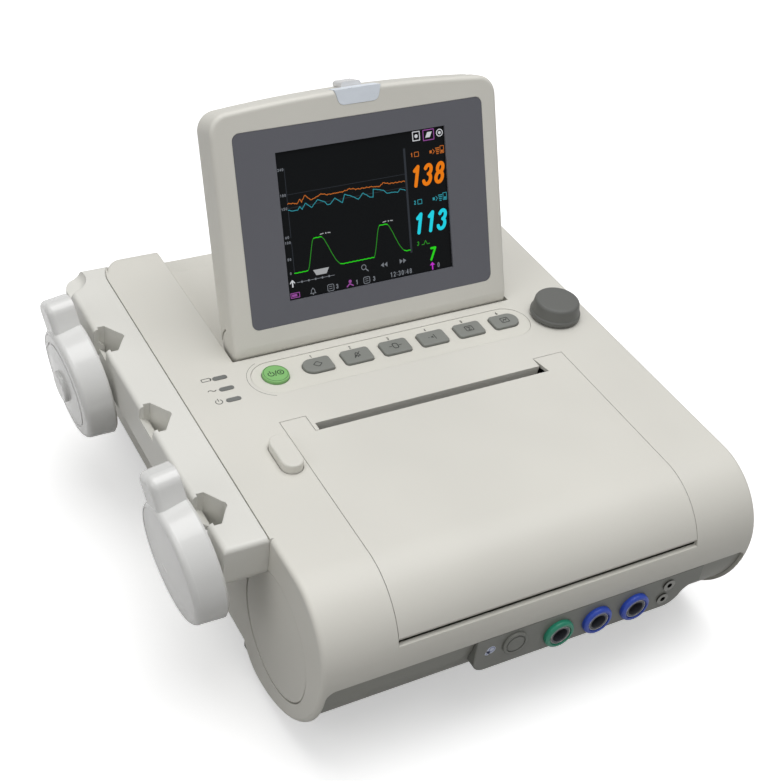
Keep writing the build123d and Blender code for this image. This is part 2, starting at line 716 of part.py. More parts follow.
def reduction_gear():
    """Idler on the recorder frame's stub axle."""
    gear = spur_gear(reduction_teeth, 90, platen_y, reduction_z, platen_shaft_r + running_clear)
    return gear - rod_x(11, gear_x0 + gear_width - 1.5, gear_x0 + gear_width + 1, platen_y, reduction_z) + \
        rod_x(4.5, gear_x0, gear_x0 + gear_width, platen_y, reduction_z) - \
        rod_x(platen_shaft_r + running_clear, gear_x0 - 1, gear_x0 + gear_width + 1, platen_y, reduction_z)


def motor_pinion():
    """Pinion and shaft of the recorder's stepper motor."""
    gear = spur_gear(pinion_teeth, 90 + 180 / pinion_teeth, platen_y, motor_z, 0.5)
    return gear + rod_x(motor_shaft_r, gear_x0, plate_x + frame_plate + 6, platen_y, motor_z)


def stepper_motor():
    """Round stepper motor bolted outside the recorder's side plate."""
    x0 = plate_x + frame_plate
    motor = rod_x(motor_r, x0, x0 + motor_length, platen_y, motor_z)
    motor += rod_x(5, x0 + motor_length, x0 + motor_length + 2, platen_y, motor_z)
    ears = Pos(platen_y, motor_z) * SlotOverall(2 * motor_r + 14, 8)
    motor += across(ears, x0, x0 + 1)
    return motor - rod_x(motor_shaft_r + running_clear, x0 - 1, x0 + 6.5, platen_y, motor_z)


def recorder_frame():
    """Folded steel frame behind the platen: cross plate, two side plates and the gear's stub axle."""
    back, low = head_y + head_thickness, platen_z - 20
    left = -plate_x - 3
    frame = block(left, plate_x + frame_plate, back, back + frame_plate, low, platen_z + 4)
    gear_room = reduction_teeth * gear_module / 2 + 2.0
    frame -= rod_x(gear_room, gear_x0 - 1, gear_x0 + gear_width + 1, platen_y, reduction_z)
    side = fillet(Rectangle(44, 68).vertices().group_by(Axis.Y)[-1], 8)
    right = across(Pos(-44, tower_top + 34) * side, plate_x, plate_x + frame_plate)
    right -= rod_x(motor_shaft_r + 1, plate_x - 1, plate_x + 3, platen_y, motor_z)
    frame += right
    frame += across(Pos(-44, tower_top + 34) * side, left, left + frame_plate)
    frame += rod_x(platen_shaft_r, gear_x0 - 0.8, plate_x + 1, platen_y, reduction_z)
    return frame


def thermal_head():
    """Aluminium thermal head with its glazed heater line facing the platen."""
    head = block(platen_x0, platen_x1, head_y, head_y + head_thickness, platen_z - 14, platen_z + 4)
    return fillet(head.edges().filter_by(Axis.X), 0.8)


def paper_tray():
    """Open tray for the fan-fold paper, with a finger notch in its front wall."""
    half = tray_inside_x / 2
    y0, y1 = tray_front_y, tray_front_y + tray_inside_y
    low, top = tray_floor_z - tray_wall, tray_floor_z - tray_wall + tray_height
    outer = block(tray_x - half - tray_wall, tray_x + half + tray_wall, y0 - tray_wall, y1 + tray_wall, low, top)
    outer = fillet(outer.edges().filter_by(Axis.X).group_by(Axis.Z)[0], 5)
    inner = block(tray_x - half, tray_x + half, y0, y1, tray_floor_z, top + 1)
    inner = fillet(inner.edges().filter_by(Axis.X).group_by(Axis.Z)[0], 3)
    tray = outer - inner
    notch = Pos(tray_x, top) * SlotOverall(50, 24)
    return tray - backwards(notch, y0 - tray_wall - 1, y0 + 1)


def latch_button():
    """Raised pill that releases the paper door, with its flange and its leaf under the panel."""
    low = panel_z - wall - key_clear / 3
    button = upwards(latch_outline(), low - flange_thickness, panel_z + latch_proud)
    button = fillet(button.edges().group_by(Axis.Z)[-1], latch_edge_r)
    button += upwards(latch_outline(flange_margin), low - flange_thickness, low)
    x1 = door_x0 - 0.4
    button += block(x1 - 1.6, x1, latch_y - 5, latch_y + 5, panel_z - 12, low - flange_thickness / 2)
    return button + block(latch_x, x1, latch_y - 5, latch_y + 5, low - flange_thickness, low)


# ---------------------------------------------------------------- keys, lamps and knob
def end_key_outline(side, grow=0.0):
    """The first and last key: one end of the row is rounded."""
    face = Rectangle(key_width, key_depth)
    order = -1 if side > 0 else 0
    round_end = key_depth / 2 - 0.3
    face = fillet(face.vertices().group_by(Axis.X)[order], round_end)
    square = [v for v in face.vertices() if abs(v.X + side * key_width / 2) < 0.01]
    face = fillet(square, key_corner_r)
    return offset(face, amount=grow) if grow else face


def key_shape(index, grow=0.0):
    """The outline of one key, by its place in the row."""
    if index == 0:
        return end_key_outline(-1, grow)
    if index == 5:
        return end_key_outline(1, grow)
    return key_outline(grow)


def press_key(outline, flange, place, height):
    """A key cap with its flange under the panel and a stem above its switch."""
    low = panel_z - wall - key_clear / 3 - flange_thickness
    cap = upwards(outline, low, panel_z + height)
    cap = fillet(cap.edges().group_by(Axis.Z)[-1], 0.7)
    cap += upwards(flange, low, low + flange_thickness)
    cap += Pos(0, 0, low - key_stem / 2) * Cylinder(2.2, key_stem)
    return place * cap


def key_plate():
    """Thin plate let into the panel round the row of keys."""
    low = panel_z - plate_sink - plate_thickness
    plate = upwards(plate_outline(-0.15), low, low + plate_thickness)
    for index, place in enumerate(key_places):
        plate -= upwards(place * key_shape(index, key_clear), low - 1, panel_z)
    return plate - upwards(power_place * Circle(power_r + key_clear), low - 1, panel_z)


def led_windows():
    """Three clear pills over the battery, mains and power lamps."""
    windows = []
    for place in led_places:
        window = upwards(place * pill(led_length, led_width), panel_z - led_depth, panel_z + 0.3)
        window += upwards(place * pill(led_length, led_width, 1.0), panel_z - led_depth, panel_z - wall)
        windows.append(window.solid())
    return group(*windows)


def key_board():
    """Circuit board under the panel, with a switch below each key and a lamp below each window."""
    low = board_top - 1.6
    board = block(-126, 138, 1.5, 37, low, board_top)
    switch_top = board_top + 2.7 - key_travel - 0.3
    for place in key_places + [power_place]:
        board += place * (Pos(0, 0, (board_top + switch_top) / 2) * Box(6, 6, switch_top - board_top))
    for place in led_places:
        board += place * (Pos(0, 0, board_top + 2.4 / 2) * Box(3.2, 1.6, 2.4))
    return board


def encoder_body():
    """Rotary encoder on the key board."""
    body = Pos(knob_x, knob_y, 0) * block(-6.8, 6.8, -6.8, 6.8, board_top, panel_z - wall - 0.5)
    return body - rod_z(encoder_sleeve_r + running_clear, board_top + 1.2, panel_z, knob_x, knob_y)


def encoder_sleeve():
    """The encoder's turning sleeve, which the knob's shaft slides in."""
    sleeve = rod_z(encoder_sleeve_r, board_top + 1.3, panel_z - 0.4, knob_x, knob_y)
    return sleeve - rod_z(encoder_shaft_r + running_clear, board_top, panel_z + 1, knob_x, knob_y)


def encoder_shaft():
    """Shaft fixed in the knob; it slides in the sleeve when the knob is pressed."""
    return rod_z(encoder_shaft_r, board_top + 2.4, panel_z + knob_gap + knob_height - 4, knob_x, knob_y)


def control_knob():
    """Round knob with a wider skirt and a softly edged top."""
    low = panel_z + knob_gap
    shoulder_r = knob_base_r - 0.8
    edges = [
        Line((0, 0), (knob_base_r - 0.6, 0)),
        Line((knob_base_r - 0.6, 0), (knob_base_r, 0.6)),
        Line((knob_base_r, 0.6), (knob_base_r, knob_skirt - 0.8)),
        Line((knob_base_r, knob_skirt - 0.8), (shoulder_r, knob_skirt)),
        Line((shoulder_r, knob_skirt), (knob_top_r, knob_height - 2.4)),
        ThreePointArc((knob_top_r, knob_height - 2.4), (knob_top_r - 0.7, knob_height - 0.7),
                      (knob_top_r - 2.4, knob_height)),
        Line((knob_top_r - 2.4, knob_height), (0, knob_height)),
        Line((0, knob_height), (0, 0)),
    ]
    knob = revolve(Plane.XZ * make_face(Wire(edges)), Axis.Z)
    knob -= Pos(0, 0, (knob_height - 4) / 2 - 0.5) * Cylinder(encoder_shaft_r, knob_height - 3)
    knob -= Pos(0, 0, 1.2) * (Cylinder(13, 2.4) - Cylinder(6, 2.4))
    return Pos(knob_x, knob_y, low) * knob


# ---------------------------------------------------------------- screen
screen_plane = Plane(origin=(screen_x, foot_y, panel_z), x_dir=(1, 0, 0),
                     z_dir=(0, -cos(radians(lean)), sin(radians(lean))))


def in_screen(shape):
    """Move a shape drawn in the screen's u, v, w frame to its place."""
    return screen_plane * shape


def frame_outline(inset=0.0, low=chin_v):
    """The screen's outline: straight sides, round top corners and a gently arched crown."""
    half = frame_width / 2 - inset
    side_top = crown_v - crown_drop - inset
    crown = crown_v - inset
    edges = [
        Line((-half, low), (-half, side_top)),
        ThreePointArc((-half, side_top), (0, crown), (half, side_top)),
        Line((half, side_top), (half, low)),
        Line((half, low), (-half, low)),
    ]
    face = make_face(Wire(edges))
    return fillet(face.vertices().group_by(Axis.Y)[-1], frame_corner_r - inset)


def slab(outline, w0, w1):
    """Extrude a u, v outline from depth w0 to w1."""
    return extrude(Pos(0, 0, w0) * outline, amount=w1 - w0)


def across_screen(radius, u0, u1):
    """A cylinder round the hinge axis, in the screen's frame."""
    return Pos((u0 + u1) / 2, chin_v, -chin_r) * Rot(0, 90, 0) * Cylinder(radius, u1 - u0)


def arm_slots():
    """Slots that the two hinge arms turn in."""
    reach = arm_eye_r + 0.8
    cuts = Part()
    for u in (-hinge_u, hinge_u):
        cut = Pos(u, (chin_v + reach - 12) / 2, (-chin_r + arm_eye_r - 40) / 2)
        cuts += cut * Box(arm_slot, reach + chin_v + 12, 40 - chin_r + arm_eye_r + 0.2)
        cuts += across_screen(reach, u - arm_slot / 2, u + arm_slot / 2)
    return cuts


def lens_outline(grow=0.0):
    """The alarm lens from the front: a short trapezium hanging from the crown."""
    top, low = crown_v + 2, crown_v - lens_height
    half_low = lens_low_width / 2 + grow
    half_top = lens_top_width / 2 + grow
    face = polygon((-half_low, low - grow), (half_low, low - grow), (half_top, top), (-half_top, top))
    return fillet(face.vertices().group_by(Axis.Y)[0], lens_corner_r)


def screen_front_frame():
    """Front half of the screen: bezel, rounded chin with the hinge bores, pocket for the display."""
    half = frame_width / 2
    frame = slab(frame_outline(), -front_depth, 0)
    frame += across_screen(chin_r, -half, half)
    rim = [e for e in frame.edges() if e.center().Z > -chin_r - 0.5 and
           (abs(abs(e.center().X) - half) < 0.01 or e.center().Y > crown_v - 30) and
           (e.center().Z > -chin_r + 1.5)]
    frame = fillet(rim, frame_edge_r)
    centre_u, centre_v = (overlay_u0 + overlay_u1) / 2, (overlay_v0 + overlay_v1) / 2
    overlay = Pos(centre_u, centre_v) * RectangleRounded(overlay_u1 - overlay_u0, overlay_v1 - overlay_v0,
                                                         overlay_corner_r)
    frame -= slab(overlay, -overlay_thickness - 0.1, 1)
    window = Pos((lcd_u0 + lcd_u1) / 2, (lcd_v0 + lcd_v1) / 2)
    frame -= slab(window * Rectangle(lcd_u1 - lcd_u0 + 1, lcd_v1 - lcd_v0 + 1), -front_depth - 1, 1)
    pocket_low = chin_v + chin_r + 3
    frame -= slab(frame_outline(frame_wall, pocket_low), -front_depth - 1, -4)
    frame -= slab(lens_outline(0.1), -lens_depth, 1)
    frame -= arm_slots()
    for u in (-hinge_u, hinge_u):
        reach = hinge_pin_length / 2 + 0.5
        frame -= across_screen(hinge_pin_r + running_clear, u - reach, u + reach)
    return in_screen(frame)


def screen_rear_cover():
    """Rear half of the screen: a shell with soft back edges and a foot that clears the hinge arms."""
    depth = screen_thickness
    shell = slab(frame_outline(0.5, chin_v + 2), -depth, -front_depth)
    back = shell.edges().group_by(Axis.Z)[0].filter_by(lambda e: e.center().Y > chin_v + 5)
    shell = fillet(back, 4.5)
    shell -= across_screen(chin_r + seam, -frame_width, frame_width)
    wedge = polygon((chin_v - 5, -chin_r - 12.6), (chin_v - 5, -depth - 5), (chin_v + 14, -depth - 5),
                    (chin_v + 9, -depth - 0.2), (chin_v + 2, -chin_r - 12.6))
    shell -= extrude(Plane(origin=(-frame_width, 0, 0), x_dir=(0, 1, 0), z_dir=(1, 0, 0)) * wedge,
                     amount=2 * frame_width)
    pocket_low = chin_v + chin_r + 3
    shell -= slab(frame_outline(0.5 + frame_wall, pocket_low), -depth + frame_wall, -front_depth + 1)
    shell -= arm_slots()
    return in_screen(shell)


def display_overlay():
    """Dark glass bezel over the display, with the picture's window cut out."""
    centre_u, centre_v = (overlay_u0 + overlay_u1) / 2, (overlay_v0 + overlay_v1) / 2
    face = Pos(centre_u, centre_v) * RectangleRounded(overlay_u1 - overlay_u0 - 0.3,
                                                      overlay_v1 - overlay_v0 - 0.3, overlay_corner_r)
    face -= Pos((lcd_u0 + lcd_u1) / 2, (lcd_v0 + lcd_v1) / 2) * Rectangle(lcd_u1 - lcd_u0, lcd_v1 - lcd_v0)
    return in_screen(slab(face, -overlay_thickness, -0.1))


def lcd_panel():
    """Display: the lit glass in the window and its wider metal tray behind the bezel."""
    place = Pos((lcd_u0 + lcd_u1) / 2, (lcd_v0 + lcd_v1) / 2)
    glass = slab(place * Rectangle(lcd_u1 - lcd_u0 + 0.4, lcd_v1 - lcd_v0 + 0.4), -4.5, -overlay_thickness - 0.05)
    tray = slab(place * Rectangle(lcd_u1 - lcd_u0 + 9, lcd_v1 - lcd_v0 + 9), -4.3 - lcd_thickness, -4.3)
    return in_screen(glass + tray)


def alarm_lens():
    """Translucent alarm lamp lens on the crown."""
    lens = slab(lens_outline(), -lens_depth, 0.2)
    lens &= slab(frame_outline(-0.2, chin_v), -lens_depth, 0.2)
    return in_screen(lens)


def screen_catch():
    """Small hook on the crown that clips to the lip when the screen is folded."""
    low = crown_v - 1.5
    catch = Pos(0, (low + crown_v + catch_height) / 2, -lens_depth - 0.2 - catch_depth / 2) * \
        Box(catch_width, catch_height + 1.5, catch_depth)
    catch = fillet(catch.edges().filter_by(Axis.Z).group_by(Axis.Y)[-1], 2.0)
    catch -= slab(frame_outline(0.0), -40, 1)
    return in_screen(catch)


def hinge_arms():
    """Two steel arms on the well's floor that carry the screen's friction hinge."""
    arms = []
    for u in (-hinge_u, hinge_u):
        x = screen_x + u
        arm = rod_x(arm_eye_r, x - arm_width / 2, x + arm_width / 2, hinge_y, hinge_z)
        front = well_back_y + seam
        leg = polygon((hinge_y - 5.5, hinge_z), (hinge_y + 5.5, hinge_z), (hinge_y + 7.5, well_low_z + 13),
                      (hinge_y + 14, well_low_z), (front + 8, well_low_z), (front, well_low_z + 8.5),
                      (front, hinge_z - 10))
        arm += across(leg, x - arm_width / 2, x + arm_width / 2)
        arm -= rod_x(hinge_pin_r, x - arm_width, x + arm_width, hinge_y, hinge_z)
        arms.append(arm.solid())
    return group(*arms)


def hinge_pins():
    """Hinge pins fixed in the arms; the screen's chin turns on them."""
    pins = []
    for u in (-hinge_u, hinge_u):
        x = screen_x + u
        pins.append(rod_x(hinge_pin_r, x - hinge_pin_length / 2, x + hinge_pin_length / 2,
                          hinge_y, hinge_z).solid())
    return group(*pins)


def screen_bumpers():
    """Rubber buttons on the well's lip that the folded screen rests on."""
    top = hinge_z + chin_r - screen_thickness - 0.4
    pads = [rod_z(bumper_r, well_lip_z, top, screen_x + side * bumper_x, bumper_y).solid() for side in (-1, 1)]
    return group(*pads)


# ---------------------------------------------------------------- probe rail and transducers
def notch_outline(y):
    """One V notch of the rail from above; two tabs narrow its mouth in the outer wall."""
    half = notch_mouth / 2
    throat_x = rail_x + notch_throat
    side_x, side_y = notch_tip_x - notch_tip_r * 0.45, notch_tip_r * 0.85
    mouth = Pos(rail_x, y) * Rectangle(2 * lip_thickness, 2 * (half - notch_tab))
    vee = make_face(Wire([
        Line((rail_x + lip_thickness, y + half), (rail_x + lip_thickness, y - half)),
        Line((rail_x + lip_thickness, y - half), (throat_x, y - half)),
        Line((throat_x, y - half), (side_x, y - side_y)),
        ThreePointArc((side_x, y - side_y), (notch_tip_x, y), (side_x, y + side_y)),
        Line((side_x, y + side_y), (throat_x, y + half)),
        Line((throat_x, y + half), (rail_x + lip_thickness, y + half)),
    ]))
    return mouth + vee


def stud_place(centre):
    """Where a docked transducer's hanger stud crosses the rail's lip: its y and z."""
    return centre[1] + stud_shift, centre[2] + stud_rise


def notch_ledge(y, stud):
    """The lip and sloping ledge in a notch's mouth, slotted for the docked transducer's stud."""
    low, inner = rail_z0 + notch_floor / 2, rail_x + ledge_run
    side_view = polygon((rail_x, low), (inner, low), (inner, ledge_z - ledge_drop), (rail_x, ledge_z))
    reach = notch_mouth / 2 + 0.5
    ledge = backwards(side_view, y - reach, y + reach)
    if stud:
        stud_y, stud_z = stud
        room = stud_head_r + stud_clear
        ledge -= block(rail_x - 1, inner + 1, stud_y - room, stud_y + room, stud_z - stud_r - 0.2, panel_z)
        ledge -= block(rail_x + lip_thickness, inner + 1, stud_y - room, stud_y + room,
                       rail_z0 + notch_floor, panel_z)
    return ledge


def probe_rail():
    """Rail along the left side with three V notches; a lip in each notch carries a hanger stud."""
    top = panel_z
    plan = polygon((rail_x, rail_y0), (-half_width, rail_y0), (-half_width, rail_y1 - 30),
                   (-half_width + 14, rail_y1), (rail_x, rail_y1))
    corner = [v for v in plan.vertices() if v.X < rail_x + 1 and v.Y > rail_y1 - 1]
    rail = upwards(fillet(corner, rail_corner_r), rail_z0, top)
    outer = [e for e in rail.edges() if abs(e.center().X - rail_x) < 0.01 and abs(e.center().Z - top) < 0.01]
    front = [e for e in rail.edges() if abs(e.center().Y - rail_y0) < 0.01]
    rail = fillet(outer + [e for e in front if abs(e.center().Z - top) < 0.01], rail_edge_r)
    rail = fillet(rail.edges().group_by(Axis.Z)[0].group_by(Axis.Y)[0], rail_front_r)
    rail -= case_solid()
    rail -= upwards(plan_outline(-rail_groove), top - rail_groove_depth, top + 1)
    scoop = rod_z(finger_r, top - finger_depth, top + 10, finger_x, finger_y)
    rail -= fillet(scoop.edges().group_by(Axis.Z)[0], finger_depth - 0.5)
    floor = rail_z0 + notch_floor
    for y in notch_ys:
        rail -= upwards(notch_outline(y), floor, top + 1)
    inner = -half_width - rail_wall
    for y0, y1 in zip((rail_y0,) + notch_ys, notch_ys + (finger_y - finger_r,)):
        low = y0 + rail_front_r + 1 if y0 == rail_y0 else y0 + notch_mouth / 2 + rail_wall
        high = y1 - notch_mouth / 2 - rail_wall if y1 in notch_ys else y1 - rail_wall
        rail -= block(rail_x + rail_wall, inner, low, high, rail_z0 - 1, top - rail_wall)
    studs = (stud_place(dock_centres[0]), None, stud_place(dock_centres[1]))
    for y, stud in zip(notch_ys, studs):
        rail += notch_ledge(y, stud)
    return rail


def dock_plane(centre):
    """Frame of a docked transducer: x to the front, y up its face, z out of the rail."""
    yaw, tilt = radians(dock_yaw), radians(dock_tilt)
    return Plane(origin=centre, x_dir=(sin(yaw), -cos(yaw), 0),
                 z_dir=(-cos(yaw) * cos(tilt), -sin(yaw) * cos(tilt), -sin(tilt)))


def transducer_shell(centre):
    """A transducer's round shell with its cable neck, hanger stud and bare cable gland."""
    edge, face_z = puck_edge_r, puck_thickness
    edges = [
        Line((0, 0), (puck_inner_r - 1.5, 0)),
        Line((puck_inner_r - 1.5, 0), (puck_inner_r, 1.5)),
        Line((puck_inner_r, 1.5), (puck_outer_r, face_z - edge)),
        ThreePointArc((puck_outer_r, face_z - edge), (puck_outer_r - 0.29 * edge, face_z - 0.29 * edge),
                      (puck_outer_r - edge, face_z)),
        Line((puck_outer_r - edge, face_z), (0, face_z)),
        Line((0, face_z), (0, 0)),
    ]
    shell = revolve(Plane.XZ * make_face(Wire(edges)), Axis.Z)
    neck = block(-neck_width / 2, neck_width / 2, 10, neck_reach, 0.8, face_z - 1.2)
    neck = fillet(neck.edges().filter_by(Axis.Z).group_by(Axis.Y)[-1], neck_corner_r)
    neck = fillet(neck.edges().group_by(Axis.Z)[-1], neck_edge_r)
    neck -= Pos(-neck_width / 2, neck_reach - 13, face_z / 2) * Rot(0, 90, 0) * Cylinder(2.4, 14)
    shell += Rot(0, 0, neck_angle) * neck
    shell -= Pos(0, 0, face_z - face_thickness / 2 + 0.5) * Cylinder(face_r + 0.15, face_thickness + 1)
    shell = dock_plane(centre) * shell
    y, z = stud_place(centre)
    behind = rail_x + lip_thickness + 0.5
    plane_x = centre[0] - stud_rise * sin(radians(dock_tilt)) - 2
    shell += rod_x(stud_r, plane_x, behind + 0.1, y, z)
    return shell + rod_x(stud_head_r, behind, behind + stud_head, y, z)


def transducer_face(centre, sensor):
    """A transducer's domed skin face, let into its shell; the contraction probe has a centre sensor."""
    low, rim = puck_thickness - face_thickness + 0.05, puck_thickness - 0.3
    top = puck_thickness + puck_dome
    dome_r = (face_r ** 2 + (top - rim) ** 2) / (2 * (top - rim))
    middle = face_r / 2
    edges = [
        Line((0, low), (face_r, low)),
        Line((face_r, low), (face_r, rim)),
        ThreePointArc((face_r, rim), (middle, top - dome_r + sqrt(dome_r ** 2 - middle ** 2)), (0, top)),
        Line((0, top), (0, low)),
    ]
    face = revolve(Plane.XZ * make_face(Wire(edges)), Axis.Z)
    if sensor:
        dome = Pos(0, 0, top + (sensor_height - 1) / 2) * Cylinder(sensor_r, sensor_height + 1)
        face += fillet(dome.edges().group_by(Axis.Z)[-1], 1.2)
        groove = Pos(0, 0, top) * (Cylinder(ring_r, 8) - Cylinder(ring_r - 1.2, 8))
        face -= groove - Pos(0, 0, top - dome_r - ring_depth) * Sphere(dome_r)
    return dock_plane(centre) * face


# ---------------------------------------------------------------- base pieces
def rubber_feet():
    """Four rubber feet plugged into the base."""
    feet = []
    for x, y in foot_places:
        foot = rod_z(foot_r, 0, base_z, x, y)
        foot = fillet(foot.edges().group_by(Axis.Z)[0], 1.2)
        feet.append((foot + rod_z(3.0, base_z, base_z + wall, x, y)).solid())
    return group(*feet)


def trolley_inserts():
    """Threaded brass inserts in the trolley pad."""
    nuts = []
    for x, y in insert_places:
        nut = rod_z(insert_outer_r, 0.2, insert_length, x, y) - rod_z(insert_r, -1, insert_length - 1, x, y)
        nuts.append(nut.solid())
    return group(*nuts)


def case_screws():
    """Four long screws that hold the two housings together."""
    screws = []
    for x, y in pillar_places:
        screw = rod_z(case_screw_head_r, base_z - 0.6, base_z + 1.4, x, y)
        screws.append((screw + rod_z(case_screw_r, base_z + 1.4, case_screw_top, x, y)).solid())
    return group(*screws)


def battery_pack():
    """Shrink-wrapped lithium pack above its door."""
    low = base_z + 2.6
    pack = block(battery_cx - battery_x / 2, battery_cx + battery_x / 2, battery_cy - battery_y / 2,
                 battery_cy + battery_y / 2, low, low + battery_z)
    return fillet(pack.edges().filter_by(Axis.X), 6)


def battery_door():
    """Cover of the battery bay on the underside."""
    return block(battery_cx - battery_x / 2 - 0.7, battery_cx + battery_x / 2 + 0.7,
                 battery_cy - battery_y / 2 - 0.7, battery_cy + battery_y / 2 + 0.7, base_z + 0.2, base_z + 2.6)


def main_board():
    """Main circuit board on its standoffs."""
    low = main_board_z
    board = block(board_x0, board_x1, board_y0, board_y1, low, low + 1.6)
    for x, y, w, d, h in ((-60, 70, 30, 30, 3), (-92, 30, 22, 40, 8), (-10, 40, 44, 10, 9), (-30, 120, 60, 20, 6),
                          (network_x, board_y1 - 6, 15, 12, 12)):
        board += block(x - w / 2, x + w / 2, y - d / 2, y + d / 2, low + 1, low + 1.6 + h)
    return board


def power_supply():
    """Mains power supply module on the base."""
    low = base_z + wall
    supply = block(psu_x0, psu_x1, psu_y0, psu_y1, low, low + 4)
    supply += block(psu_x0 + 6, psu_x0 + 40, psu_y0 + 10, psu_y0 + 46, low + 3, low + 30)
    supply += block(psu_x1 - 20, psu_x1 - 6, psu_y0 + 20, psu_y1 - 8, low + 3, low + 26)
    for k in range(3):
        supply += rod_z(capacitor_r, low + 3, low + 26, psu_x0 + 14 + capacitor_pitch * k, psu_y1 - 22)
    return supply


def loudspeaker():
    """Loudspeaker over the slots in the base."""
    low = base_z + wall
    cone = rod_z(speaker_r, low, low + 5, speaker_x, speaker_y)
    return cone + rod_z(speaker_r * 0.55, low + 5, low + 16, speaker_x, speaker_y)


def mains_inlet():
    """Three-pin mains inlet in the rear wall."""
    flange = Pos(mains_x, mains_z) * RectangleRounded(48, 23, 4)
    inlet = backwards(flange, rear_y, rear_y + 2)
    inlet += block(mains_x - 13.8, mains_x + 13.8, rear_y - 16, rear_y, mains_z - 9.8, mains_z + 9.8)
    inlet -= block(mains_x - 11.5, mains_x + 11.5, rear_y - 13, rear_y + 3, mains_z - 8, mains_z + 8)
    for x, z in ((-7, -1.5), (0, 2.0), (7, -1.5)):
        inlet += block(mains_x + x - 1, mains_x + x + 1, rear_y - 14, rear_y - 3, mains_z + z - 2, mains_z + z + 2)
    return inlet


def network_socket():
    """Shielded network socket in the rear wall, standing on the main board's rear edge."""
    shell = block(network_x - 7.8, network_x + 7.8, rear_y - 24, rear_y + 0.4, network_z - 6.2, network_z + 6.8)
    shell -= block(network_x - 5.9, network_x + 5.9, rear_y - 16, rear_y + 1, network_z - 4.4, network_z + 2.6)
    return shell - block(network_x - 2.2, network_x + 2.2, rear_y - 8, rear_y + 1, network_z + 2, network_z + 5)


def earth_stud():
    """Potential equalisation pin on the rear."""
    pin = rod_y(3.0, rear_y - wall - 4, rear_y + 12, earth_x, earth_z)
    return pin + rod_y(6.0, rear_y, rear_y + 2.5, earth_x, earth_z)


# ---------------------------------------------------------------- the parts
parts = {
    "top_housing": top_housing(),
    "end_discs": end_discs(),
    "bottom_housing": bottom_housing(),
    "socket_panel": socket_panel(),
    "toco_socket": probe_socket(socket_xs[0]),
    "ultrasound_sockets": group(probe_socket(socket_xs[1]), probe_socket(socket_xs[2])),
    "socket_linings": socket_linings(),
    "marker_socket": marker_socket(),
    "front_jacks": front_jacks(),
    "paper_door": paper_door(),
    "door_hinge_pin": door_hinge_pin(),
    "platen_shaft": platen_shaft(),
    "platen_rubber": platen_rubber(),
    "platen_gear": platen_gear(),
    "reduction_gear": reduction_gear(),
    "motor_pinion": motor_pinion(),
    "stepper_motor": stepper_motor(),
    "recorder_frame": recorder_frame(),
    "thermal_head": thermal_head(),
    "paper_tray": paper_tray(),
    "door_latch_button": latch_button(),
    "key_plate": key_plate(),
    "led_windows": led_windows(),
    "key_board": key_board(),
    "encoder_body": encoder_body(),
    "encoder_sleeve": encoder_sleeve(),
    "encoder_shaft": encoder_shaft(),
    "control_knob": control_knob(),
    "screen_front_frame": screen_front_frame(),
    "screen_rear_cover": screen_rear_cover(),
    "display_overlay": display_overlay(),
    "lcd_panel": lcd_panel(),
    "alarm_lens": alarm_lens(),
    "screen_catch": screen_catch(),
    "hinge_arms": hinge_arms(),
    "hinge_pins": hinge_pins(),
    "screen_bumpers": screen_bumpers(),
    "probe_rail": probe_rail(),
    "rubber_feet": rubber_feet(),
    "trolley_inserts": trolley_inserts(),
    "case_screws": case_screws(),
    "battery_pack": battery_pack(),
    "battery_door": battery_door(),
    "main_board": main_board(),
    "power_supply": power_supply(),
    "loudspeaker": loudspeaker(),
    "mains_inlet": mains_inlet(),
    "network_socket": network_socket(),
    "earth_stud": earth_stud(),
}
key_names = ("start", "silence", "auto_zero", "mark", "print", "channel")
for index, (name, place) in enumerate(zip(key_names, key_places)):
    parts[name + "_key"] = press_key(key_shape(index), key_shape(index, flange_margin), place, key_proud)
parts["power_key"] = press_key(Circle(power_r), Circle(power_r + flange_margin), power_place, key_proud + 0.4)
for name, centre in zip(("ultrasound", "toco"), dock_centres):
    parts[name + "_transducer_shell"] = transducer_shell(centre)
    parts[name + "_transducer_face"] = transducer_face(centre, name == "toco")

for name, part in parts.items():
    export_step(part, f"parts/{name}.step")
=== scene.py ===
"""Looks of the bedside fetal monitor: materials with some painted shade and highlight, printed marks and
painted shade marks, the lit display, lights and camera.

Every piece is in metres in the case's own frame: +X right, +Y to the rear, +Z up, the table at Z = 0.
Sizes in the classes below are millimetres, as on a drawing, and are turned into metres by MM.
"""

import json
import logging
import math
from contextlib import contextmanager
from dataclasses import dataclass, field
from enum import Enum
from typing import Callable, Iterable, Iterator, Optional, Sequence, Union

import bmesh
import bpy
from mathutils import Matrix, Vector

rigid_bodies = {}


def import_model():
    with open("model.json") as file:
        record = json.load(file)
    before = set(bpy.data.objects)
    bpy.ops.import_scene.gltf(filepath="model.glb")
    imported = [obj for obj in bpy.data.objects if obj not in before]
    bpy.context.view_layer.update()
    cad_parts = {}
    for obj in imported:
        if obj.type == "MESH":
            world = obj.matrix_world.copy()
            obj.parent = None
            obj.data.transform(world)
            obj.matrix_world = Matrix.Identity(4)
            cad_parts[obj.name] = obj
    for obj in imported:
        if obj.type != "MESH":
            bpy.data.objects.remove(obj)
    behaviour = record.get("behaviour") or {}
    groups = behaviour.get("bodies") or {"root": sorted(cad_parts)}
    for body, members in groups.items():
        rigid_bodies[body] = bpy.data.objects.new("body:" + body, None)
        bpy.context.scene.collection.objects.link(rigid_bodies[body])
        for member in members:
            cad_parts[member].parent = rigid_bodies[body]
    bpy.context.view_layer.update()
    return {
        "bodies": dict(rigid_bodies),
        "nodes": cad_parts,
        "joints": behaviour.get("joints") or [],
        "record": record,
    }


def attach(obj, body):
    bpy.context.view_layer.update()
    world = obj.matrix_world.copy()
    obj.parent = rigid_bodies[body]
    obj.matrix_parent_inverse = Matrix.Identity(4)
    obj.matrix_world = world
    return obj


LOG = logging.getLogger("monitor")
MM = 0.001
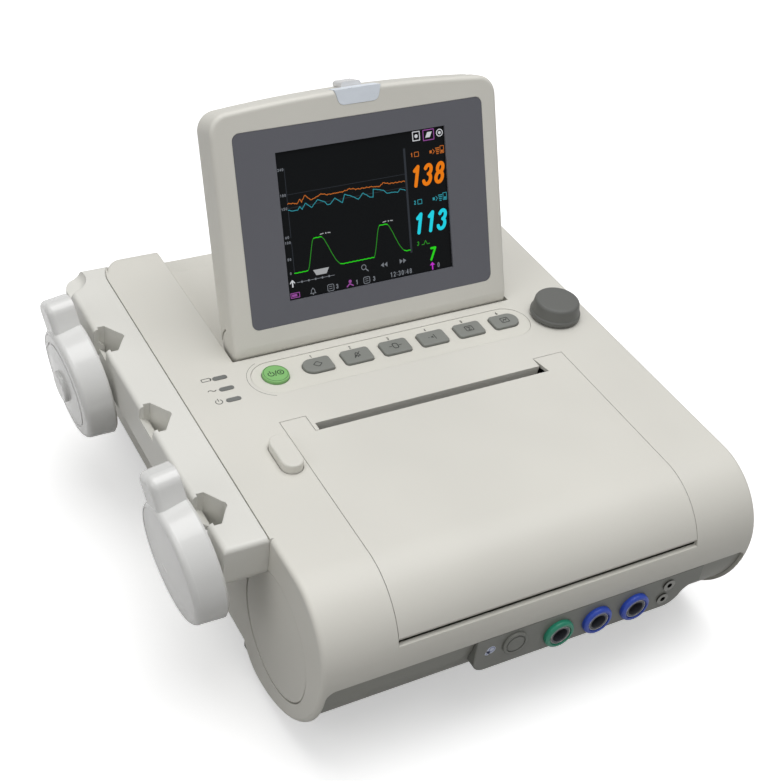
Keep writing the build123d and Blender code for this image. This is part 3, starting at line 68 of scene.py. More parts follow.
RIGHT, REAR, UP = (1, 0, 0), (0, 1, 0), (0, 0, 1)
NOISE_LOW, NOISE_HIGH = 0.3, 0.7    # most of a noise texture's values lie between these
Point = tuple[float, float]
Colour = tuple[float, float, float, float]
Socket = bpy.types.NodeSocket


class Body(Enum):
    """Bodies of the model that pieces ride on."""

    CASE = "case"
    SCREEN = "screen"
    START = "start_key_cap"
    SILENCE = "silence_key_cap"
    AUTO_ZERO = "auto_zero_key_cap"
    MARK = "mark_key_cap"
    PRINT = "print_key_cap"
    CHANNEL = "channel_key_cap"
    POWER = "power_key_cap"


class Slot(Enum):
    """Material slots of the record that new pieces take their finish from."""

    CASE = "case"
    DISPLAY = "display"
    MARKER = "marker"
    STEEL = "steel"
    JACK = "jack_metal"
    KEY = "key_grey"
    POWER_KEY = "key_green"


def srgb(red: int, green: int, blue: int) -> Colour:
    """Turn a screen colour into scene-linear light.

    Args:
        red, green, blue: channel values from 0 to 255.

    Returns:
        The linear colour with full alpha.
    """

    def channel(value: int) -> float:
        """Turn one channel into scene-linear light.

        Args:
            value: the channel from 0 to 255.

        Returns:
            Its linear value.
        """
        share = value / 255
        return share / 12.92 if share <= 0.04045 else ((share + 0.055) / 1.055) ** 2.4

    return channel(red), channel(green), channel(blue), 1.0


# ---------------------------------------------------------------- node helpers
class Graph:
    """A thin wrapper that adds and links nodes of one tree."""

    def __init__(self, tree: bpy.types.NodeTree) -> None:
        """Keep a tree.

        Args:
            tree: the tree that nodes are added to.
        """
        self.tree = tree

    def add(self, kind: str, **settings: object) -> bpy.types.Node:
        """Add a node.

        Args:
            kind: Blender's node type.
            settings: properties to set on it.

        Returns:
            The new node.
        """
        node = self.tree.nodes.new(kind)
        for name, value in settings.items():
            setattr(node, name, value)
        return node

    def link(self, source: Socket, target: Socket) -> None:
        """Link one socket to another.

        Args:
            source: the output.
            target: the input.
        """
        self.tree.links.new(source, target)

    def math(self, operation: str, first: Union[float, Socket],
             second: Union[float, Socket, None] = None) -> Socket:
        """Add a math node; numbers are set and sockets are linked.

        Args:
            operation: the math operation.
            first, second: a number or a socket each.

        Returns:
            The result's socket.
        """
        node = self.add("ShaderNodeMath", operation=operation)
        for index, value in enumerate((first, second)):
            if isinstance(value, Socket):
                self.link(value, node.inputs[index])
            elif value is not None:
                node.inputs[index].default_value = value
        return node.outputs[0]

    def noise(self, vector: Socket, scale: float, detail: float = 2.0) -> Socket:
        """Add a noise texture.

        Args:
            vector: the coordinates.
            scale: cells per metre.
            detail: octaves.

        Returns:
            The noise value's socket.
        """
        node = self.add("ShaderNodeTexNoise")
        node.inputs["Scale"].default_value = scale
        node.inputs["Detail"].default_value = detail
        self.link(vector, node.inputs["Vector"])
        return node.outputs["Fac"]

    def spread(self, value: Socket, low: float, high: float, to_low: float, to_high: float) -> Socket:
        """Map a value from one range to another, clamped.

        Args:
            value: the value's socket.
            low, high: the range it has.
            to_low, to_high: the range it gets.

        Returns:
            The mapped value's socket.
        """
        node = self.add("ShaderNodeMapRange")
        self.link(value, node.inputs["Value"])
        limits = {"From Min": low, "From Max": high, "To Min": to_low, "To Max": to_high}
        for name, number in limits.items():
            node.inputs[name].default_value = number
        return node.outputs["Result"]

    def even(self, value: Socket, to_low: float = 0.0, to_high: float = 1.0) -> Socket:
        """Map a noise texture's value to a range.

        Args:
            value: the noise value's socket.
            to_low, to_high: the range it gets.

        Returns:
            The mapped value's socket.
        """
        return self.spread(value, NOISE_LOW, NOISE_HIGH, to_low, to_high)

    def place(self) -> Socket:
        """Coordinates that stay with the piece.

        Returns:
            The coordinates' socket.
        """
        return self.add("ShaderNodeTexCoord").outputs["Object"]


class Effect:
    """A shader node group that several finishes share."""

    title: str = "effect"
    takes: Sequence[tuple[str, float]] = ()
    gives: Sequence[tuple[str, str]] = ()

    def tree(self) -> bpy.types.NodeTree:
        """Build the group once.

        Returns:
            The group, the same one on every call.
        """
        known = bpy.data.node_groups.get(self.title)
        if known:
            return known
        tree = bpy.data.node_groups.new(self.title, "ShaderNodeTree")
        for name, default in self.takes:
            socket = tree.interface.new_socket(name=name, in_out="INPUT", socket_type="NodeSocketFloat")
            socket.default_value = default
        for name, kind in self.gives:
            tree.interface.new_socket(name=name, in_out="OUTPUT", socket_type=kind)
        graph = Graph(tree)
        start, end = graph.add("NodeGroupInput"), graph.add("NodeGroupOutput")
        self.wire(graph, start, end)
        return tree

    def wire(self, graph: Graph, start: bpy.types.Node, end: bpy.types.Node) -> None:
        """Add the group's own nodes.

        Args:
            graph: the group's graph.
            start: the node with the group's inputs.
            end: the node with the group's outputs.
        """
        raise NotImplementedError

    def place(self, graph: Graph, **values: float) -> bpy.types.Node:
        """Put the group in a material.

        Args:
            graph: the material's graph.
            values: numbers for its inputs, with underscores for spaces.

        Returns:
            The group node.
        """
        node = graph.add("ShaderNodeGroup")
        node.node_tree = self.tree()
        for name, value in values.items():
            node.inputs[name.replace("_", " ")].default_value = value
        return node


class MouldTexture(Effect):
    """Spark-eroded texture of a moulded cover: fine grain, slow waviness and a slight colour drift."""

    title = "mould_texture"
    takes = (("Grain", 900.0), ("Drift", 9.0), ("Depth", 0.5))
    gives = (("Height", "NodeSocketFloat"), ("Shade", "NodeSocketFloat"), ("Gloss", "NodeSocketFloat"))

    def wire(self, graph: Graph, start: bpy.types.Node, end: bpy.types.Node) -> None:
        """Fine noise for the height, wide noise for the shade and the gloss.

        Args:
            graph: the group's graph.
            start: its input node.
            end: its output node.
        """
        place = graph.place()
        fine = graph.add("ShaderNodeTexNoise")
        fine.inputs["Detail"].default_value = 3.0
        graph.link(place, fine.inputs["Vector"])
        graph.link(start.outputs["Grain"], fine.inputs["Scale"])
        wide = graph.add("ShaderNodeTexNoise")
        wide.inputs["Detail"].default_value = 2.0
        graph.link(place, wide.inputs["Vector"])
        graph.link(start.outputs["Drift"], wide.inputs["Scale"])
        height = graph.math("MULTIPLY", fine.outputs["Fac"], start.outputs["Depth"])
        graph.link(height, end.inputs["Height"])
        graph.link(wide.outputs["Fac"], end.inputs["Shade"])
        mixed = graph.math("ADD", graph.math("MULTIPLY", wide.outputs["Fac"], 0.7),
                           graph.math("MULTIPLY", fine.outputs["Fac"], 0.3))
        graph.link(mixed, end.inputs["Gloss"])


class EdgeWearAndHighlight(Effect):
    """Rounded-looking edges with a light polish where hands touch them; the mask also lightens their colour,
    partly as wear and partly as painted highlight.
    """

    title = "edge_wear_and_highlight"
    takes = (("Strength", 1.0),)
    gives = (("Mask", "NodeSocketFloat"), ("Normal", "NodeSocketVector"))
    radius: float = 0.0006
    even_dot: float = 0.995
    edge_dot: float = 0.86

    def wire(self, graph: Graph, start: bpy.types.Node, end: bpy.types.Node) -> None:
        """Compare the bevelled normal with the true one, broken up by noise.

        Args:
            graph: the group's graph.
            start: its input node.
            end: its output node.
        """
        bevel = graph.add("ShaderNodeBevel", samples=4)
        bevel.inputs["Radius"].default_value = self.radius
        geometry = graph.add("ShaderNodeNewGeometry")
        dot = graph.add("ShaderNodeVectorMath", operation="DOT_PRODUCT")
        graph.link(bevel.outputs["Normal"], dot.inputs[0])
        graph.link(geometry.outputs["Normal"], dot.inputs[1])
        edge = graph.spread(dot.outputs["Value"], self.even_dot, self.edge_dot, 0.0, 1.0)
        place = graph.place()
        broken = graph.spread(graph.noise(place, 160.0), 0.3, 0.65, 0.35, 1.0)
        mask = graph.math("MULTIPLY", graph.math("MULTIPLY", edge, broken), start.outputs["Strength"])
        graph.link(mask, end.inputs["Mask"])
        graph.link(bevel.outputs["Normal"], end.inputs["Normal"])


class CreviceShade(Effect):
    """Painted shade that darkens seams, slots and inner corners."""

    title = "crevice_shade"
    takes = (("Amount", 0.5),)
    gives = (("Mask", "NodeSocketFloat"),)
    reach: float = 0.004
    open_share: float = 0.75
    closed_share: float = 0.15

    def wire(self, graph: Graph, start: bpy.types.Node, end: bpy.types.Node) -> None:
        """Occlusion within a few millimetres, thinned out by noise.

        Args:
            graph: the group's graph.
            start: its input node.
            end: its output node.
        """
        occlusion = graph.add("ShaderNodeAmbientOcclusion", samples=4)
        occlusion.inputs["Distance"].default_value = self.reach
        closed = graph.spread(occlusion.outputs["AO"], self.open_share, self.closed_share, 0.0, 1.0)
        place = graph.place()
        patchy = graph.even(graph.noise(place, 70.0, 4.0), 0.5, 1.0)
        graph.link(graph.math("MULTIPLY", graph.math("MULTIPLY", closed, patchy), start.outputs["Amount"]),
                   end.inputs["Mask"])


class LaidLines(Effect):
    """Fine parallel lines left by brushing, rolling or turning."""

    title = "laid_lines"
    takes = (("Density", 2600.0), ("Depth", 0.4))
    gives = (("Height", "NodeSocketFloat"), ("Streak", "NodeSocketFloat"))
    stretch: float = 40.0

    def wire(self, graph: Graph, start: bpy.types.Node, end: bpy.types.Node) -> None:
        """Noise drawn out along X.

        Args:
            graph: the group's graph.
            start: its input node.
            end: its output node.
        """
        place = graph.place()
        squeeze = graph.add("ShaderNodeMapping")
        squeeze.inputs["Scale"].default_value = (1 / self.stretch, 1.0, 1.0)
        graph.link(place, squeeze.inputs["Vector"])
        lines = graph.add("ShaderNodeTexNoise")
        lines.inputs["Detail"].default_value = 2.0
        graph.link(squeeze.outputs["Vector"], lines.inputs["Vector"])
        graph.link(start.outputs["Density"], lines.inputs["Scale"])
        graph.link(graph.math("MULTIPLY", lines.outputs["Fac"], start.outputs["Depth"]), end.inputs["Height"])
        graph.link(lines.outputs["Fac"], end.inputs["Streak"])


# ---------------------------------------------------------------- finishes
@dataclass(frozen=True)
class Finish:
    """A finish with a name and a colour; each kind wires its own material."""

    name: str
    colour: Colour

    def make(self) -> bpy.types.Material:
        """Build the material once.

        Returns:
            The material, the same one on every call.
        """
        title = self.name + "_finish"
        known = bpy.data.materials.get(title)
        if known:
            return known
        material = bpy.data.materials.new(title)
        material.use_nodes = True
        graph = Graph(material.node_tree)
        shader = material.node_tree.nodes["Principled BSDF"]
        shader.inputs["Base Color"].default_value = self.colour
        self.wire(graph, shader)
        return material

    def wire(self, graph: Graph, shader: bpy.types.Node) -> None:
        """Wire the finish's own nodes to the shader.

        Args:
            graph: the material's graph.
            shader: its surface shader.
        """
        raise NotImplementedError

    def relief(self, graph: Graph, shader: bpy.types.Node, height: Socket, strength: float,
               distance: float) -> bpy.types.Node:
        """Raise the surface by a height.

        Args:
            graph: the material's graph.
            shader: its surface shader.
            height: the height's socket.
            strength: how much of it shows.
            distance: the full height, in metres.

        Returns:
            The node that does it.
        """
        bump = graph.add("ShaderNodeBump")
        bump.inputs["Strength"].default_value = strength
        bump.inputs["Distance"].default_value = distance
        graph.link(height, bump.inputs["Height"])
        graph.link(bump.outputs["Normal"], shader.inputs["Normal"])
        return bump

    def tinted(self, graph: Graph, mask: Socket, base: Union[Colour, Socket], other: Colour) -> Socket:
        """Mix another colour in by a mask.

        Args:
            graph: the material's graph.
            mask: how much of the other colour.
            base: a colour or a colour socket.
            other: the colour that comes in.

        Returns:
            The mixed colour's socket.
        """
        mix = graph.add("ShaderNodeMix", data_type="RGBA")
        graph.link(mask, mix.inputs["Factor"])
        if isinstance(base, Socket):
            graph.link(base, mix.inputs["A"])
        else:
            mix.inputs["A"].default_value = base
        mix.inputs["B"].default_value = other
        return mix.outputs["Result"]

    def shaded(self, factor: float) -> Colour:
        """The finish's colour made lighter or darker.

        Args:
            factor: what its channels are multiplied by.

        Returns:
            The new colour.
        """
        red, green, blue, alpha = self.colour
        return min(1.0, red * factor), min(1.0, green * factor), min(1.0, blue * factor), alpha


@dataclass(frozen=True)
class Moulding(Finish):
    """Satin or glossy moulded plastic.

    Attributes:
        roughness, spread: its middle roughness, and how far that strays.
        grain, depth: fineness and depth of the mould's texture.
        drift: how far the shade strays.
        painted_shade: how much painted shade darkens the seams and inner corners.
        edges, gloss_edges: whether edges look rounded and handled, with a lighter colour that is partly wear
            and partly painted highlight, and how much that polishes them.
        coat, specular: weight of a clear coat, and strength of the plain reflection.
    """

    roughness: float = 0.45
    spread: float = 0.06
    grain: float = 900.0
    depth: float = 0.04
    drift: float = 0.03
    painted_shade: float = 0.35
    edges: bool = True
    gloss_edges: float = 0.08
    coat: float = 0.0
    specular: float = 0.5

    def wire(self, graph: Graph, shader: bpy.types.Node) -> None:
        """Grain, colour drift, edges lightened partly by wear and partly as painted highlight, and painted
        shade in the seams.

        Args:
            graph: the material's graph.
            shader: its surface shader.
        """
        texture = MouldTexture().place(graph, Grain=self.grain, Depth=1.0)
        drift = graph.even(texture.outputs["Shade"])
        colour = self.tinted(graph, drift, self.shaded(1 - self.drift), self.shaded(1 + self.drift))
        rough = graph.even(texture.outputs["Gloss"], self.roughness - self.spread, self.roughness + self.spread)
        if self.painted_shade:
            painted_shade = CreviceShade().place(graph, Amount=self.painted_shade)
            # painted shade: the colour is darkened to 35 % in seams, slots and inner corners found by an
            # occlusion test
            colour = self.tinted(graph, painted_shade.outputs["Mask"], colour, self.shaded(0.35))
        bump = self.relief(graph, shader, texture.outputs["Height"], self.depth, 0.0004)
        if self.edges:
            wear_and_highlight = EdgeWearAndHighlight().place(graph, Strength=0.6)
            # lighter edge colour: partly handling wear, partly painted highlight
            colour = self.tinted(graph, wear_and_highlight.outputs["Mask"], colour, self.shaded(1.12))
            polish = graph.math("MULTIPLY", wear_and_highlight.outputs["Mask"], self.gloss_edges)
            rough = graph.math("SUBTRACT", rough, polish)
            graph.link(wear_and_highlight.outputs["Normal"], bump.inputs["Normal"])
        graph.link(colour, shader.inputs["Base Color"])
        graph.link(rough, shader.inputs["Roughness"])
        shader.inputs["Specular IOR Level"].default_value = self.specular
        shader.inputs["Coat Weight"].default_value = self.coat
        shader.inputs["Coat Roughness"].default_value = 0.12


@dataclass(frozen=True)
class Metal(Finish):
    """Brushed, turned or plated metal."""

    roughness: float = 0.3
    density: float = 2600.0
    depth: float = 0.12

    def wire(self, graph: Graph, shader: bpy.types.Node) -> None:
        """Fine lines that vary colour and gloss.

        Args:
            graph: the material's graph.
            shader: its surface shader.
        """
        lines = LaidLines().place(graph, Density=self.density, Depth=1.0)
        streak = graph.even(lines.outputs["Streak"])
        colour = self.tinted(graph, streak, self.shaded(0.82), self.shaded(1.08))
        graph.link(colour, shader.inputs["Base Color"])
        graph.link(graph.even(lines.outputs["Streak"], self.roughness * 0.75, self.roughness * 1.3),
                   shader.inputs["Roughness"])
        shader.inputs["Metallic"].default_value = 1.0
        self.relief(graph, shader, lines.outputs["Height"], self.depth, 0.0002)


@dataclass(frozen=True)
class SoftRubber(Finish):
    """Dull moulded rubber with patches of dust."""

    roughness: float = 0.75
    depth: float = 0.25
    dust: Colour = srgb(96, 94, 90)

    def wire(self, graph: Graph, shader: bpy.types.Node) -> None:
        """Coarse grain and patches of pale dust.

        Args:
            graph: the material's graph.
            shader: its surface shader.
        """
        texture = MouldTexture().place(graph, Grain=1400.0, Drift=60.0, Depth=1.0)
        dusty = graph.spread(texture.outputs["Shade"], 0.45, 0.75, 0.0, 0.35)
        graph.link(self.tinted(graph, dusty, self.colour, self.dust), shader.inputs["Base Color"])
        graph.link(graph.even(texture.outputs["Gloss"], self.roughness - 0.1, self.roughness + 0.1),
                   shader.inputs["Roughness"])
        self.relief(graph, shader, texture.outputs["Height"], self.depth, 0.0003)


@dataclass(frozen=True)
class Frosted(Finish):
    """Milky lens or light pipe."""

    roughness: float = 0.35
    clear: float = 0.35

    def wire(self, graph: Graph, shader: bpy.types.Node) -> None:
        """A cloudy tint over partly clear plastic.

        Args:
            graph: the material's graph.
            shader: its surface shader.
        """
        texture = MouldTexture().place(graph, Grain=500.0, Drift=45.0, Depth=1.0)
        cloud = graph.even(texture.outputs["Shade"])
        graph.link(self.tinted(graph, cloud, self.shaded(0.93), self.shaded(1.05)), shader.inputs["Base Color"])
        graph.link(graph.even(texture.outputs["Gloss"], self.roughness - 0.05, self.roughness + 0.05),
                   shader.inputs["Roughness"])
        shader.inputs["Transmission Weight"].default_value = self.clear
        shader.inputs["IOR"].default_value = 1.46


@dataclass(frozen=True)
class Ink(Finish):
    """Screen-printed ink with slightly uneven cover."""

    roughness: float = 0.5

    def wire(self, graph: Graph, shader: bpy.types.Node) -> None:
        """Thin spots in the print.

        Args:
            graph: the material's graph.
            shader: its surface shader.
        """
        texture = MouldTexture().place(graph, Grain=2200.0, Drift=240.0, Depth=1.0)
        thin = graph.spread(texture.outputs["Shade"], 0.35, 0.75, 0.0, 0.3)
        graph.link(self.tinted(graph, thin, self.colour, self.shaded(1.5)), shader.inputs["Base Color"])
        graph.link(graph.even(texture.outputs["Gloss"], self.roughness - 0.05, self.roughness + 0.08),
                   shader.inputs["Roughness"])


@dataclass(frozen=True)
class Lit(Finish):
    """A lit part of the display's picture."""

    strength: float = 0.9
    pixel_lines: float = 900.0
    line_depth: float = 0.16
    unlit: float = 0.1

    def wire(self, graph: Graph, shader: bpy.types.Node) -> None:
        """Colour from inside, with the panel's fine pixel lines, under smooth glass.

        Args:
            graph: the material's graph.
            shader: its surface shader.
        """
        place = graph.place()
        waves = graph.add("ShaderNodeTexWave", wave_type="BANDS", bands_direction="X")
        waves.inputs["Scale"].default_value = self.pixel_lines
        graph.link(place, waves.inputs["Vector"])
        lines = graph.spread(waves.outputs["Fac"], 0.0, 1.0, 0.0, self.line_depth)
        glow = self.tinted(graph, lines, self.colour, self.shaded(0.45))
        graph.link(glow, shader.inputs["Emission Color"])
        shader.inputs["Emission Strength"].default_value = self.strength
        shader.inputs["Base Color"].default_value = self.shaded(self.unlit)
        shader.inputs["Roughness"].default_value = 0.3
        shader.inputs["Specular IOR Level"].default_value = 0.1


@dataclass(frozen=True)
class Circuit(Finish):
    """Green board with paler tracks under solder resist."""

    track_scale: float = 160.0
    track_gap: float = 0.03

    def wire(self, graph: Graph, shader: bpy.types.Node) -> None:
        """Brick-like tracks and a satin resist.

        Args:
            graph: the material's graph.
            shader: its surface shader.
        """
        place = graph.place()
        tracks = graph.add("ShaderNodeTexBrick")
        tracks.inputs["Scale"].default_value = self.track_scale
        tracks.inputs["Mortar Size"].default_value = self.track_gap
        tracks.inputs["Color1"].default_value = self.colour
        tracks.inputs["Color2"].default_value = self.shaded(0.85)
        tracks.inputs["Mortar"].default_value = self.shaded(1.7)
        graph.link(place, tracks.inputs["Vector"])
        graph.link(tracks.outputs["Color"], shader.inputs["Base Color"])
        graph.link(graph.even(graph.noise(place, 300.0), 0.3, 0.5), shader.inputs["Roughness"])


class Palette:
    """All finishes of the monitor, by what they cover."""

    cover = Moulding("cover_cream", srgb(219, 217, 209), roughness=0.42, depth=0.05)
    # a darker copy of the cover's cream: painted shade for parts inside the case
    shaded_cover = Moulding("well_cream_shaded", srgb(212, 210, 202), roughness=0.5, depth=0.05)
    # a lighter copy of the cover's cream: painted light on the probe rail
    lit_rail = Moulding("rail_cream_lit", srgb(224, 223, 217), roughness=0.42, depth=0.05, painted_shade=0.0)
    lower = Moulding("lower_case_grey", srgb(146, 146, 139), roughness=0.5, depth=0.08)
    panel = Moulding("socket_panel_grey", srgb(124, 125, 119), roughness=0.42, depth=0.05)
    plate = Moulding("key_plate_cream", srgb(222, 220, 211), roughness=0.36, grain=1500.0, depth=0.03)
    key = Moulding("key_grey", srgb(134, 136, 131), roughness=0.48, grain=1300.0, depth=0.08, gloss_edges=0.15)
    power = Moulding("power_key_green", srgb(134, 192, 116), roughness=0.45, grain=1300.0, depth=0.06)
    knob = Moulding("knob_grey", srgb(103, 104, 101), roughness=0.5, grain=1100.0, depth=0.12, gloss_edges=0.2)
    overlay = Moulding("display_bezel", srgb(106, 107, 114), roughness=0.35, grain=2600.0, depth=0.01,
                       drift=0.015, painted_shade=0.15, edges=False, specular=0.2)
    probe = Moulding("probe_white", srgb(226, 226, 224), roughness=0.24, spread=0.04, grain=240.0, depth=0.01,
                     drift=0.012, painted_shade=0.3, coat=0.6, gloss_edges=0.05)
    green = Moulding("socket_green", srgb(42, 146, 116), roughness=0.34, grain=1500.0, depth=0.04)
    blue = Moulding("socket_blue", srgb(48, 80, 190), roughness=0.34, grain=1500.0, depth=0.04)
    lining = Moulding("socket_lining", srgb(74, 76, 84), roughness=0.4, grain=1500.0, depth=0.04, painted_shade=0.0)
    marker = Moulding("marker_cap_grey", srgb(122, 123, 117), roughness=0.45, depth=0.05)
    dark = Moulding("inner_plastic", srgb(70, 71, 73), roughness=0.55, depth=0.1)
    inlet = Moulding("inlet_black", srgb(34, 34, 36), roughness=0.4, depth=0.08)
    gear = Moulding("gear_acetal", srgb(228, 226, 216), roughness=0.4, depth=0.03)
    film = Moulding("battery_film", srgb(60, 78, 128), roughness=0.3, grain=120.0, depth=0.1)
    glass = Moulding("display_glass", srgb(20, 22, 24), roughness=0.3, spread=0.02, grain=3000.0, depth=0.0,
                     drift=0.02, painted_shade=0.0, edges=False, specular=0.1)
    steel = Metal("steel_sheet", srgb(176, 176, 176))
    aluminium = Metal("aluminium_bar", srgb(196, 197, 200), roughness=0.36)
    brass = Metal("turned_brass", srgb(206, 172, 104), roughness=0.28, density=4200.0)
    nickel = Metal("nickel_bush", srgb(176, 176, 172), roughness=0.2, density=5200.0, depth=0.05)
    jack = Metal("jack_chrome", srgb(122, 122, 118), roughness=0.26, density=5200.0, depth=0.05)
    rubber = SoftRubber("black_rubber", srgb(30, 30, 31))
    lens = Frosted("alarm_lens", srgb(230, 237, 246), roughness=0.3, clear=0.0)
    catch = Frosted("catch_clear", srgb(222, 222, 222), roughness=0.25, clear=0.0)
    lamp = Frosted("lamp_grey", srgb(122, 124, 122), roughness=0.35, clear=0.1)
    board = Circuit("circuit_board", srgb(30, 96, 62))
    # the dark print also paints the shade in the screws' cross recesses
    ink = Ink("print_dark_and_recess_shade", srgb(92, 93, 90))
    pale_ink_and_line_shade = Ink("print_pale_and_line_shade", srgb(128, 128, 122))
    key_ink = Ink("key_print", srgb(62, 64, 62))
    power_ink = Ink("power_print", srgb(40, 66, 40))
    emblem_ink = Ink("emblem_white", srgb(206, 212, 232))
    emblem_blue = Ink("emblem_blue", srgb(84, 96, 156))
    heater = Ink("heater_glaze", srgb(52, 42, 36), roughness=0.2)
    picture_orange = Lit("picture_orange", srgb(238, 128, 22))
    picture_cyan = Lit("picture_cyan", srgb(36, 214, 232))
    picture_dim_cyan = Lit("picture_dim_cyan", srgb(52, 150, 164))
    picture_dim_orange = Lit("picture_dim_orange", srgb(196, 108, 44))
    picture_green = Lit("picture_green", srgb(44, 214, 30))
    picture_dim_green = Lit("picture_dim_green", srgb(46, 140, 38))
    picture_magenta = Lit("picture_magenta", srgb(196, 52, 208))
    picture_dim_magenta = Lit("picture_dim_magenta", srgb(150, 78, 156))
    picture_white = Lit("picture_white", srgb(206, 208, 212))
    picture_pale = Lit("picture_pale", srgb(166, 168, 170))
    picture_grey = Lit("picture_grey", srgb(120, 124, 130))
    picture_faint = Lit("picture_faint", srgb(48, 52, 58))


# ---------------------------------------------------------------- flat artwork
def bow(x: float, y: float, wide: float, tall: float, start: float, end: float, steps: int = 14) -> list[Point]:
    """Points of part of an oval.

    Args:
        x, y: the oval's centre.
        wide, tall: its half width and half height.
        start, end: angles in degrees from +X.
        steps: straight pieces it is made of.

    Returns:
        The points from the start to the end.
    """
    turns = [math.radians(start + (end - start) * k / steps) for k in range(steps + 1)]
    return [(x + wide * math.cos(turn), y + tall * math.sin(turn)) for turn in turns]


# centre lines of the numerals in a box one wide and one high
NUMERALS: dict[str, list[list[Point]]] = {
    "0": [bow(0.5, 0.5, 0.5, 0.5, 0, 360, 24)],
    "1": [[(0.22, 0.8), (0.66, 1.0), (0.66, 0.0)]],
    "2": [bow(0.5, 0.72, 0.47, 0.28, 160, -38) + [(0.03, 0.0), (1.0, 0.0)]],
    "3": [bow(0.47, 0.76, 0.46, 0.24, 160, -75) + bow(0.47, 0.27, 0.52, 0.27, 75, -160)],
    "4": [[(0.74, 0.0), (0.74, 1.0), (0.0, 0.3), (1.0, 0.3)]],
    "5": [[(0.95, 1.0), (0.14, 1.0), (0.06, 0.54)] + bow(0.46, 0.33, 0.54, 0.33, 125, -160)],
    "6": [bow(0.5, 0.3, 0.5, 0.3, 0, 360, 20), bow(1.05, 0.3, 1.05, 0.72, 180, 108)],
    "7": [[(0.0, 1.0), (1.0, 1.0), (0.34, 0.0)]],
    "8": [bow(0.5, 0.76, 0.42, 0.24, 0, 360, 20), bow(0.5, 0.27, 0.5, 0.27, 0, 360, 20)],
    "9": [bow(0.5, 0.7, 0.5, 0.3, 0, 360, 20), bow(-0.05, 0.7, 1.05, 0.72, 0, -72)],
    ":": [[(0.5, 0.25), (0.5, 0.27)], [(0.5, 0.73), (0.5, 0.75)]],
}


